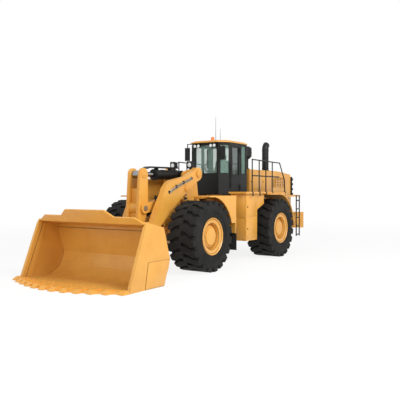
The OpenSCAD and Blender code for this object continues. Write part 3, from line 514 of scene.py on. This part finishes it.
# %% [markdown]
# A fitting that repeats is modelled once and copied, each copy with its own mesh, as a workshop makes a
# batch. Finished fittings of one kind are joined, named, given their finish and set to ride with the body
# they are bolted to, so that they move with it when a joint turns.

# %% Copies, pairs and riding
MIRROR = Matrix.Scale(-1, 4, (0, 1, 0))
SMOOTH_BELOW = math.radians(40)
# The machine's left side is 1 and its right side -1
BOTH = (1, -1)
SIDES = (("left", 1), ("right", -1))
made = []


def copied(piece, matrix):
    """A copy of a finished piece with its own mesh, moved by a matrix in scene metres."""
    twin = piece.copy()
    twin.data = piece.data.copy()
    twin.data.transform(matrix)
    if matrix.determinant() < 0:
        twin.data.flip_normals()
    bpy.context.scene.collection.objects.link(twin)
    return twin


def joined(pieces):
    """Several finished solids as one object."""
    only(pieces[0])
    for piece in pieces:
        piece.select_set(True)
    bpy.ops.object.join()
    return bpy.context.object


def settle(piece, name, finish, body):
    """Names a finished piece, gives it its finish and lets it ride with a body."""
    only(piece)
    bpy.ops.object.shade_smooth_by_angle(angle=SMOOTH_BELOW)
    piece.name = name
    piece.data.name = name
    piece.data.materials.clear()
    piece.data.materials.append(finish)
    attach(piece, body)
    made.append(name)


def settle_pair(piece, name, finish, body):
    """A piece on the machine's left and its mirror image on the right, as one object."""
    twin = copied(piece, MIRROR)
    settle(joined([piece, twin]), name, finish, body)


# %% [markdown]
# Wheel nuts: hexagon bar, chamfered and drilled, on studs in a ring on the wheel's disc. One nut is made and
# turned round the hub, which keeps the ring true. The rim also gets two dark rings of painted shadow in the
# gaps of its lock ring, and the tyre two moulded rings; a torus that is half sunk in the surface gives both a
# soft round edge.

# %% Wheel nuts, lock ring gaps and side wall rings
LEFT = (0, 1, 0)
AXLE_X = 2275
AXLE_Z = 1035
WHEEL_Y = 1300
NUT_CIRCLE = 352
NUT_FOOT = WHEEL_Y + 263
COVER_CIRCLE = 290
COVER_FOOT = WHEEL_Y + 318


def wheel_nut(x, circle, y_foot, radius, height):
    """One nut with its washer and stud, straight above the hub on its bolt circle."""
    foot = (x, y_foot, AXLE_Z + circle)
    nut = disc(foot, LEFT, radius, height, round_mm=4, sides=6)
    washer = disc(foot, LEFT, radius * 1.3, 5, round_mm=1, sides=20)
    stud = disc(foot, LEFT, radius * 0.5, height + 16, sides=12)
    return joined([nut, washer, stud])


def round_hub(piece, x, count):
    """A piece and its copies, evenly spaced about a wheel's axle."""
    to_hub = Matrix.Translation(at(x, 0, AXLE_Z))
    from_hub = Matrix.Translation(-at(x, 0, AXLE_Z))
    pieces = [piece]
    for i in range(1, count):
        turn = Matrix.Rotation(math.radians(i * 360 / count), 4, "Y")
        pieces.append(copied(piece, to_hub @ turn @ from_hub))
    return pieces


def wheel_ring(x, y, radius, thick):
    """A fine ring about a wheel's axle."""
    return ring((x, y, AXLE_Z), radius, thick, (math.pi / 2, 0, 0), around=72, across=8)


def settle_wheels(piece, name, end, finish):
    """A piece on a left wheel and its mirror image on the right one, each riding with its own wheel."""
    twin = copied(piece, MIRROR)
    settle(piece, name + "_" + end + "_left", finish, "wheel_" + end + "_left")
    settle(twin, name + "_" + end + "_right", finish, "wheel_" + end + "_right")


for end, x in (("front", AXLE_X), ("rear", -AXLE_X)):
    nuts = round_hub(wheel_nut(x, NUT_CIRCLE, NUT_FOOT, radius=25, height=34), x, count=24)
    cover_bolts = round_hub(wheel_nut(x, COVER_CIRCLE, COVER_FOOT, radius=15, height=14), x, count=12)
    settle_wheels(joined(nuts + cover_bolts), "wheel_nuts", end, yellow_enamel)
    gap_shadow_rings = [wheel_ring(x, WHEEL_Y + 389, radius=392, thick=6),
            wheel_ring(x, WHEEL_Y + 411, radius=500, thick=6)]
    # Painted shadow: two dark rings stand for the shade in the lock ring's gaps
    settle_wheels(joined(gap_shadow_rings), "lock_ring_painted_gap_shadows", end, gap_shadow_paint)
    walls = [wheel_ring(x, WHEEL_Y + 449, radius=700, thick=12),
             wheel_ring(x, WHEEL_Y + 434, radius=600, thick=9)]
    settle_wheels(joined(walls), "side_wall_rings", end, tyre_rubber)
print("pieces on the wheels:", len(made))

# %% [markdown]
# The bucket takes the hardest wear, so plates are welded over it: one on each lower rear corner and a liner
# on the floor. Thin dark beads along the laps are painted shadow in the joints, and the shell's inner corners
# have fillet welds. A weld is a swept round bar, half sunk in the corner, because its long soft highlight is
# all that shows of it.

# %% Bucket wear plates, welds and seams
CHEEK_FACE = 1930
CUTTER_FACE = 1854
FLOOR_HALF = 1840
CORNER_Y = 1876
BACK_HALF = 1850
WELD = 9
SEAM = 6
CORNER_LINE = [(5560, 14), (4836, 14), (4606, 640), (5440, 640)]
CHEEK_WELD = [(5700, 48), (5280, 48), (4960, 170), (4720, 480), (4690, 760), (4880, 1395)]
settle_pair(cut_plate(CORNER_LINE, CHEEK_FACE, 12), "bucket_corner_plates", yellow_enamel, "bucket")
# Painted shadow: a dark line round each corner plate, where it meets the cheek
seam_shadow = swept([(x, CHEEK_FACE + 4, z) for x, z in CORNER_LINE], SEAM, closed=True, smooth=False)
settle_pair(seam_shadow, "corner_plate_painted_seam_shadows", gap_shadow_paint, "bucket")
liner = block((5420, -FLOOR_HALF, 36), (6105, FLOOR_HALF, 50), 3)
settle(liner, "bucket_floor_liner", yellow_enamel, "bucket")
beads = [bar((x, -FLOOR_HALF, z), (x, FLOOR_HALF, z), WELD) for x, z in ((5462, 1546), (6118, 46))]
for y in (-CORNER_Y, CORNER_Y):
    beads.append(swept([(x, y, z) for x, z in CHEEK_WELD], WELD))
settle(joined(beads), "bucket_weld_beads", yellow_enamel, "bucket")
# Each side cutter is a lapped strip, with a line of painted shadow on its inner face; the back has one lap
# joint across it, with painted shadow too
seam_shadow = bar((5990, CUTTER_FACE, 46), (5405, CUTTER_FACE, 1470), SEAM)
settle_pair(seam_shadow, "side_cutter_painted_seam_shadows", gap_shadow_paint, "bucket")
lap_shadow = bar((4847, -BACK_HALF, 1330), (4847, BACK_HALF, 1330), SEAM)
settle(lap_shadow, "bucket_back_painted_seam_shadow", gap_shadow_paint, "bucket")
print("pieces so far:", len(made))

# %% [markdown]
# The cutting edge is bolted on, because it wears out first. One hexagon head is made at the right end and
# copied along the edge in even steps.

# %% Edge bolts
UP = (0, 0, 1)
EDGE_BOLTS = 18
EDGE_BOLT_STEP = 200
bolt = disc((6190, -1700, 60), UP, 22, 14, round_mm=4, sides=6)
bolts = [bolt]
for i in range(1, EDGE_BOLTS):
    bolts.append(copied(bolt, Matrix.Translation((0, i * EDGE_BOLT_STEP / MM, 0))))
settle(joined(bolts), "edge_bolts", edge_plate, "bucket")
print("pieces so far:", len(made))

# %% [markdown]
# Pins are held by keeper caps: a round plate over the pin's end with six small bolts, so that the pin can be
# drawn out for service. The same cap, in different sizes, closes seven joints of the linkage, so it is one
# function that starts from the pin's place in the side view.

# %% Pin caps
CAP_BOLTS = 6
ARM_PIVOT = (1380, 2890)
LIFT_HEAD = (2030, 2430)
LIFT_FOOT = (1650, 950)
BUCKET_PIN = (4450, 560)
LEVER_TOP = (3560, 2830)
LEVER_FOOT = (3780, 880)
LINK_PIN = (4480, 890)
LEVER_FACE = 230


def pin_cap(pin, y_foot, radius, thick):
    """A keeper cap on the machine's left, with its boss and bolts."""
    x, z = pin
    plate = disc((x, y_foot, z), LEFT, radius, thick, round_mm=4, sides=40)
    boss = disc((x, y_foot, z), LEFT, radius * 0.45, thick + 8, sides=24)
    cap = [plate, boss]
    circle = radius * 0.74
    for i in range(CAP_BOLTS):
        turn = math.radians(30 + i * 360 / CAP_BOLTS)
        foot = (x + circle * math.cos(turn), y_foot + thick - 1, z + circle * math.sin(turn))
        cap.append(disc(foot, LEFT, radius * 0.11, 9, round_mm=2, sides=6))
    return joined(cap)


for name, pin, y_foot, radius, thick, body in (
        ("arm_pivot_caps", ARM_PIVOT, 641, 118, 14, "front"),
        ("lift_head_caps", LIFT_HEAD, 640, 84, 12, "arms"),
        ("bucket_pin_caps", BUCKET_PIN, 711, 100, 14, "bucket"),
        ("lever_top_caps", LEVER_TOP, LEVER_FACE, 112, 16, "lever"),
        ("lever_foot_caps", LEVER_FOOT, LEVER_FACE, 92, 14, "lever"),
        ("link_pin_caps", LINK_PIN, LEVER_FACE, 88, 12, "bucket"),
        ("lift_foot_caps", LIFT_FOOT, 636, 88, 12, "front")):
    settle_pair(pin_cap(pin, y_foot, radius, thick), name, yellow_enamel, body)
print("pieces so far:", len(made))

# %% [markdown]
# Hydraulic lines: rigid steel tube where nothing moves, held by clamps, and rubber hose where it must flex.
# Two bright tubes run up the outer face of each arm and enter it through a dark grommet. The second tube is
# the first one's route, lowered by their spacing.

# %% Arm tubes
ARM_FACE = 618
TUBE_SPACING = 52
CLAMP_STEP = (-360, 0, 130)
ARM_TUBE = [(2878, 628, 2352), (2800, 646, 2392), (2450, 648, 2540), (2080, 648, 2665), (1790, 648, 2760)]
TUBE_ENDS = ((2888, 2322), (1768, 2742))
for side, s in SIDES:
    tubes = [swept(on_side(ARM_TUBE, s, drop), 17) for drop in (0, TUBE_SPACING)]
    settle(joined(tubes), "arm_tubes_" + side, bright_tube, "arms")
    grommets = [disc((x, s * ARM_FACE, z), (0, s, 0), 48, 22, round_mm=6, sides=28) for x, z in TUBE_ENDS]
    settle(joined(grommets), "arm_grommets_" + side, hose_rubber, "arms")
    clamp = block((2560, ARM_FACE + 1, 2420), (2596, 672, 2530), 5, s)
    far_clamp = copied(clamp, Matrix.Translation([step / MM for step in CLAMP_STEP]))
    settle(joined([clamp, far_clamp]), "arm_tube_clamps_" + side, black_enamel, "arms")
print("pieces so far:", len(made))

# %% [markdown]
# Behind the tower a row of hoses drops from hexagon fittings towards the hitch, past a black valve block.
# Each hose has the same bends; only its place across the machine differs, so one loop sweeps them all.

# %% Tower hoses
BEHIND = (-1, 0, 0)
HOSE_YS = (-210, -150, -90, 90, 150, 210)
FITTING_Z = 2560
hoses = []
for y in HOSE_YS:
    route = [(1092, y, FITTING_Z), (985, y, 2590), (905, y * 1.05, 2430), (850, y, 2180), (770, y, 1960),
             (690, y * 0.9, 1720)]
    hoses.append(swept(route, 19))
settle(joined(hoses), "tower_hoses", hose_rubber, "front")
fittings = [disc((1094, y, FITTING_Z), BEHIND, 27, 46, round_mm=4, sides=6) for y in HOSE_YS]
settle(joined(fittings), "hose_fittings", pin_steel, "front")
manifold = block((1000, -270, 2080), (1090, 270, 2200), 8)
settle(manifold, "valve_manifold", black_enamel, "front")
print("pieces so far:", len(made))

# %% [markdown]
# On the arms' cross tube two hoses a side loop over to the arms. The tilt and lift cylinders also have rigid
# tubes along their barrels that feed the far end; they ride with the barrels.

# %% Cross tube hoses and cylinder tubes
OUTER_LOOP = [(2950, 150, 2096), (2990, 190, 2190), (3100, 260, 2210), (3170, 330, 2110), (3110, 390, 1980),
              (2990, 410, 1930)]
INNER_LOOP = [(2890, 190, 2086), (2920, 240, 2160), (3020, 310, 2170), (3070, 370, 2080), (3020, 415, 1980)]
TILT_FEED = [(1830, 120, 2985), (1900, 160, 2990), (2400, 168, 2960), (2780, 160, 2945), (2830, 150, 2890)]
LIFT_FEED = [(1780, 640, 1090), (1800, 652, 1180), (1910, 652, 1640), (1972, 646, 1880), (1990, 625, 1960)]
loops = []
for s in BOTH:
    loops.append(swept(on_side(OUTER_LOOP, s), 17))
    loops.append(swept(on_side(INNER_LOOP, s), 15))
settle(joined(loops), "cross_tube_hoses", hose_rubber, "arms")
feeds = [swept(on_side(TILT_FEED, s), 15) for s in BOTH]
settle(joined(feeds), "tilt_cylinder_tubes", black_enamel, "tilt_barrel")
feeds = [swept(on_side(LIFT_FEED, s), 14) for s in BOTH]
settle(joined(feeds), "lift_cylinder_tubes", black_enamel, "lift_barrels")
print("pieces so far:", len(made))

# %% [markdown]
# Each pane of the cab sits in a black rubber seal, which is a closed tube swept round the opening. The
# door's seal and handle ride with the door, and the wiper stands on the windscreen.

# %% Cab seals, door handle and wiper
AHEAD = (1, 0, 0)
CAB_SIDE = 800
CAB_REAR = -1420
PANE_LOW = 2956
PANE_TOP = 3924


def pane_seal(a, b, low=PANE_LOW, top=PANE_TOP):
    """A rubber seal round a pane that stands between two plan places."""
    return swept([(*a, low), (*b, low), (*b, top), (*a, top)], 13, closed=True, smooth=False)


seals = [pane_seal((0, -434), (0, 434)), pane_seal((CAB_REAR, -624), (CAB_REAR, 624)),
         pane_seal((-924, -CAB_SIDE), (-316, -CAB_SIDE))]
for s in BOTH:
    seals.append(pane_seal((-1334, s * CAB_SIDE), (-1016, s * CAB_SIDE)))
    seals.append(pane_seal((-41, s * 541), (-259, s * 759)))
settle(joined(seals), "window_seals", hose_rubber, "rear")
door_seal = pane_seal((-854, CAB_SIDE), (-386, CAB_SIDE), 2916, 3864)
settle(door_seal, "door_window_seal", hose_rubber, "door")
handle_plate = block((-376, CAB_SIDE - 2, 2780), (-336, CAB_SIDE + 12, 2900))
handle_bow = swept([(-356, 808, 2790), (-356, 840, 2805), (-356, 840, 2875), (-356, 808, 2890)], 9)
settle(joined([handle_plate, handle_bow]), "door_handle", black_enamel, "door")
wiper_hub = disc((2, -120, 2935), AHEAD, 30, 26, round_mm=5)
wiper_arm = swept([(20, -120, 2935), (26, -20, 3200), (22, 60, 3420)], 8)
wiper_blade = block((12, 50, 3130), (24, 68, 3760))
settle(joined([wiper_hub, wiper_arm, wiper_blade]), "windscreen_wiper", black_enamel, "rear")
print("pieces so far:", len(made))

# %% [markdown]
# Inside the cab the steering wheel stands on its column before the seat, with a lever on each armrest and a
# small display. Through tinted glass only their outlines show, so plain rings, bars and blocks are enough.

# %% Steering wheel and controls
WHEEL_HUB = (-330, 0, 3058)
SPOKE_ENDS = ((-330, 205, 3060), (-330, -205, 3060), (-496, 0, 2944))
ARMREST_Y = 370
rim = ring((-330, 0, 3060), 210, 17, (0, math.radians(-35), 0), around=40, across=10)
column = bar((-150, 0, 2800), (-330, 0, 3055), 28)
spokes = [bar(WHEEL_HUB, spoke_end, 11) for spoke_end in SPOKE_ENDS]
settle(joined([rim, column] + spokes), "steering_wheel", seat_vinyl, "rear")
controls = [block((-190, 350, 2920), (-150, 480, 3180), 10)]
for y in (ARMREST_Y, -ARMREST_Y):
    controls.append(swept([(-560, y, 2910), (-550, y, 3080)], 12))
    controls.append(disc((-550, y, 3070), UP, 26, 60, round_mm=14))
settle(joined(controls), "cab_controls", seat_vinyl, "rear")
print("pieces so far:", len(made))

# %% [markdown]
# The seat's cushions are foam in vinyl: crowned forms with soft edges. A cloth simulation could swell them,
# but behind the glass a bevelled box that is subdivided with a swell looks much the same and takes no time.

# %% Seat cushions


def cushion(low, high, lean):
    """Padding between two corners, leaned back by some degrees."""
    pad = box(low, high, (0, math.radians(-lean), 0))
    modify(pad, "BEVEL", width=22 / MM, segments=3, limit_method="ANGLE")
    bpy.ops.object.mode_set(mode="EDIT")
    bpy.ops.mesh.select_all(action="SELECT")
    bpy.ops.mesh.subdivide(number_cuts=3, smoothness=0.35)
    bpy.ops.object.mode_set(mode="OBJECT")
    return pad


for name, low, high, lean in (("seat_cushion", (-1010, -245, 2782), (-555, 245, 2850), 0),
                              ("seat_back_cushion", (-990, -225, 2860), (-920, 225, 3440), 10),
                              ("seat_head_cushion", (-1130, -140, 3450), (-1060, 140, 3640), 8)):
    pad = cushion(low, high, lean)
    settle(pad, name, seat_vinyl, "rear")
print("pieces so far:", len(made))

# %% [markdown]
# Outside the cab there are grab rails at its front corners and a handrail at the front of the right deck,
# all of bent round tube. They are swept like the hoses.

# %% Grab rails and front handrail
GRAB_RAIL = [(-285, 780, 2480), (-262, 824, 2500), (-260, 828, 2900), (-262, 824, 3300), (-285, 780, 3320)]
RAIL_Y = -1515
RAIL_BEND = ((-110, 2328), (-110, 3210), (-160, 3290), (-300, 3340), (-500, 3405))
grabs = [swept(on_side(GRAB_RAIL, s), 15) for s in BOTH]
settle(joined(grabs), "cab_grab_rails", black_enamel, "rear")
top_rail = swept([(x, RAIL_Y, z) for x, z in RAIL_BEND], 19)
knee_rail = bar((-110, RAIL_Y, 2870), (-500, RAIL_Y, 2870), 17)
settle(joined([top_rail, knee_rail]), "front_handrail", black_enamel, "rear")
print("pieces so far:", len(made))

# %% [markdown]
# Lamps get a clear lens, a turned disc with a wide rounded rim. The mirrors get a silvered pane, and the
# beacon's dome four fine ribs, which catch the light and show that it is moulded.

# %% Lenses, mirror panes and beacon ribs
lenses = [disc((103, s * y, 3890), AHEAD, 52, 9, round_mm=4, sides=28) for s in BOTH for y in (250, 390)]
settle(joined(lenses), "work_lamp_lenses", clear_lens, "rear")
lenses = [disc((1451, s * 330, 3175), AHEAD, 72, 20, round_mm=7) for s in BOTH]
settle(joined(lenses), "front_lamp_lenses", clear_lens, "front")
panes = [block((48, 645, 3420), (55, 795, 3830), 3, s) for s in BOTH]
settle(joined(panes), "mirror_panes", mirror_glass, "rear")
ribs = [ring((-420, 0, z), 58, 4) for z in (4115, 4140, 4165, 4190)]
settle(joined(ribs), "beacon_ribs", amber_lens, "rear")
print("pieces so far:", len(made))

# %% [markdown]
# Body panels: doors on the tanks and the hood are pressed sheet that stands a little proud, with a round
# latch and its handle near one edge. Thin rounded blocks on the solids' faces give the shadow and the bright
# edge that a door has.

# %% Panel doors and latches
TANK_FACE = 1438
TANK_FRONT = -202
HOOD_FACE = 798
TANK_ROWS = ((760, 1440), (1490, 2225))
HOOD_DOORS = (((-2560, 2380), (-1680, 3040), 10), ((-3340, 2380), (-2610, 3040), 10),
              ((-5080, 1860), (-3420, 2100), 9))
LATCHES = ((-300, 1446, 1820), (-300, 1446, 1100), (-1740, 807, 2700), (-2670, 807, 2700))
doors = []
for s in BOTH:
    for low, top in TANK_ROWS:
        doors.append(block((-945, TANK_FACE, low), (-240, TANK_FACE + 9, top), 5, s))
    for low, top in TANK_ROWS:
        doors.append(block((TANK_FRONT, 900, low), (TANK_FRONT + 9, 1400, top), 5, s))
    for (back, low), (front, top), proud in HOOD_DOORS:
        doors.append(block((back, HOOD_FACE, low), (front, HOOD_FACE + proud, top), 6, s))
settle(joined(doors), "panel_doors", yellow_enamel, "rear")
latches = []
for s in BOTH:
    for x, y, z in LATCHES:
        latches.append(disc((x, s * y, z), (0, s, 0), 26, 8, sides=24))
        latches.append(block((x - 40, y + 6, z - 9), (x + 14, y + 16, z + 9), 3, s))
settle(joined(latches), "panel_latches", black_enamel, "rear")
print("pieces so far:", len(made))

# %% [markdown]
# Cooling air goes through louvres in the hood's sides. Each of the eight openings gets four blades and a
# rain lip above it; nested loops make them all.

# %% Louvre blades
LOUVRES = 8
LOUVRE_STEP = 150
blades = []
for s in BOTH:
    for i in range(LOUVRES):
        x = -3500 - i * LOUVRE_STEP
        blades.append(block((x - 6, 796, 2896), (x + 106, 818, 2910), 3, s))
        for z in (2560, 2640, 2720, 2800):
            blades.append(block((x + 2, 766, z), (x + 98, 796, z + 10), 2, s))
settle(joined(blades), "louvre_blades", yellow_enamel, "rear")
print("pieces so far:", len(made))

# %% [markdown]
# The decks carry rolled tread plate, and each rail post is bolted to the deck through an angled foot. Plates
# and feet are thin blocks; the lozenges are in the plate's material.

# %% Deck plates and rail feet
DECK_TOP = 2329
REAR_DECK_TOP = 2199
TREAD = 6
POSTS = (-500, -1000, -1500, -2000, -3040)
treads = []
for s in BOTH:
    treads.append(block((-3085, 875, DECK_TOP), (-1450, 1485, DECK_TOP + TREAD), 2, s))
    treads.append(block((-1440, 915, DECK_TOP), (-75, 1485, DECK_TOP + TREAD), 2, s))
    treads.append(block((-4935, 812, REAR_DECK_TOP), (-3315, 1268, REAR_DECK_TOP + TREAD), 2, s))
settle(joined(treads), "deck_tread_plates", tread_plate, "rear")
feet = []
for s in BOTH:
    for x in POSTS:
        feet.append(block((x - 38, 1488, 2330), (x + 38, 1549, 2346), 3, s))
        feet.append(block((x - 30, 1540, 2180), (x + 30, 1553, 2346), 3, s))
settle(joined(feet), "rail_feet", black_enamel, "rear")
print("pieces so far:", len(made))

# %% [markdown]
# On top and behind: clamp bands hold the stack and the precleaner, red lamps sit in the corner guards, and
# the ladders have treads of the same rolled plate as the decks. Bands are turned discs round the pipes.

# %% Pipe bands, tail lamps and ladder treads
STACK = (-3750, 350)
PRECLEANER = (-1950, 450)
LADDER_STEPS = 5
LADDER_RISE = 340


def band(x, y, z, radius, tall):
    """A clamp band round an upright pipe, with its screw lug."""
    strap = disc((x, y, z), UP, radius, tall, sides=48)
    lug = block((x - radius - 24, y - 12, z + 4), (x - radius + 6, y + 12, z + tall - 4), 3)
    return joined([strap, lug])


bands = [band(*STACK, 3230, 136, 40), band(*STACK, 3950, 136, 40), band(*PRECLEANER, 3480, 117, 34),
         band(*PRECLEANER, 3760, 236, 30)]
settle(joined(bands), "pipe_bands", black_enamel, "rear")
lamps = [block((-5242, 760, z), (-5226, 835, z + 75), 6, s) for s in BOTH for z in (2310, 2710)]
settle(joined(lamps), "tail_lamps", red_lens, "rear")
steps = []
for s in BOTH:
    for i in range(LADDER_STEPS):
        z = 630 + i * LADDER_RISE
        steps.append(block((-4878, 1275, z), (-4622, 1335, z + 16), 4, s))
settle(joined(steps), "ladder_treads", tread_plate, "rear")
print("pieces so far:", len(made))

# %% [markdown]
# Cap screws hold the counterweight to the frame's tail and the front mudguards to their brackets. They are
# hexagon heads again, smaller on the thin sheet than on the casting.

# %% Cap screws
TAIL_X = -5460
MUDGUARD_TOP = 2210
screws = []
for s in BOTH:
    for z in (1400, 960):
        for y in (400, 700, 1000):
            screws.append(disc((TAIL_X, s * y, z), BEHIND, 26, 9, round_mm=4, sides=6))
settle(joined(screws), "counterweight_screws", yellow_enamel, "rear")
screws = []
for s in BOTH:
    for x in (1000, 1300, 1600, 1900, 2200):
        for y in (1600, 900):
            screws.append(disc((x, s * y, MUDGUARD_TOP), UP, 16, 8, sides=6))
    for y in (950, 1200, 1450, 1650):
        screws.append(disc((895, s * y, 1075), BEHIND, 16, 8, sides=6))
settle(joined(screws), "mudguard_screws", yellow_enamel, "front")
print("pieces made:", len(made))

# %% [markdown]
# The studio: a wide pale floor, a big soft lamp high on the machine's left, a weaker one ahead, and an even
# sky. More light would make the background white but bleach the paint, so floor and sky are white only to
# the rays that show them: from the camera, off a gloss or through glass. The light itself stays plain.

# %% Floor
FLOOR_SIZE = 400
FLOOR_DROP = 0.002
FADE_FROM = 8.0
FADE_TO = 26.0
NEAR_WHITE = 0.86
PURE_WHITE = (1, 1, 1, 1)


def background_rays(tree):
    """A node that is 1 for rays from the camera, off a gloss or through glass, and 0 for all others."""
    path = add(tree, "LightPath")
    seen = add(tree, "Math", {"operation": "MAXIMUM"}, n0=path.outputs["Is Camera Ray"],
               n1=path.outputs["Is Glossy Ray"])
    return add(tree, "Math", {"operation": "MAXIMUM"}, n0=seen.outputs[0],
               n1=path.outputs["Is Transmission Ray"])


bpy.ops.object.select_all(action="DESELECT")
bpy.ops.mesh.primitive_plane_add(size=FLOOR_SIZE, location=(0, 0, -FLOOR_DROP))
floor = bpy.context.object
floor.name = "floor"
floor_paint, floor_tree, floor_shader = new_material("pale_floor")
floor_shader.inputs["Base Color"].default_value = linear("#F2F2F2")
floor_shader.inputs["Roughness"].default_value = 0.9
floor_seen = background_rays(floor_tree)
# The floor takes soft shadows near the machine and fades to pure white further out
spot = add(floor_tree, "TexCoord").outputs["Object"]
away = add(floor_tree, "VectorMath", {"operation": "LENGTH"}, n0=spot)
fade = add(floor_tree, "MapRange", Value=away.outputs["Value"], n1=FADE_FROM, n2=FADE_TO,
           n3=NEAR_WHITE, n4=1.0)
share = add(floor_tree, "Math", {"operation": "MULTIPLY"}, n0=floor_seen.outputs[0], n1=fade.outputs[0])
white = add(floor_tree, "Emission", Color=PURE_WHITE, Strength=1.0)
blend = add(floor_tree, "MixShader", n0=share.outputs[0], n1=floor_shader.outputs[0], n2=white.outputs[0])
output = next(node for node in floor_tree.nodes if node.type == "OUTPUT_MATERIAL")
floor_tree.links.new(blend.outputs[0], output.inputs["Surface"])
floor.data.materials.append(floor_paint)
print("floor laid, metres across:", FLOOR_SIZE)

# %% [markdown]
# The sky is one even white, weaker as a light than as a background. Area lamps wider than the machine is
# tall give the soft-edged shadows of a studio; each one is placed and then turned to face its aim.

# %% Sky and lamps
SKY_LEVEL = 0.55
world = bpy.data.worlds.new("studio")
bpy.context.scene.world = world
world.use_nodes = True
sky = world.node_tree
sky.nodes.clear()
sky_seen = background_rays(sky)
sky_strength = add(sky, "MapRange", Value=sky_seen.outputs[0], n1=0.0, n2=1.0, n3=SKY_LEVEL, n4=1.0)
sky_light = add(sky, "Background", Color=PURE_WHITE, Strength=sky_strength.outputs[0])
add(sky, "OutputWorld", Surface=sky_light.outputs[0])


def soft_lamp(name, place, aim, size, watts):
    """A square area lamp at a place in scene metres, turned to face its aim."""
    lamp_data = bpy.data.lights.new(name, "AREA")
    lamp_data.shape = "SQUARE"
    lamp_data.size = size
    lamp_data.energy = watts
    lamp = bpy.data.objects.new(name, lamp_data)
    lamp.location = place
    lamp.rotation_euler = (Vector(aim) - Vector(place)).to_track_quat("-Z", "Y").to_euler()
    bpy.context.scene.collection.objects.link(lamp)


soft_lamp("key", place=(4, 16, 12), aim=(0, 0, 1.5), size=9, watts=2900)
soft_lamp("front", place=(18, 3, 9), aim=(2, 0, 1.2), size=8, watts=1000)
print("lamps set:", len(bpy.data.lights))
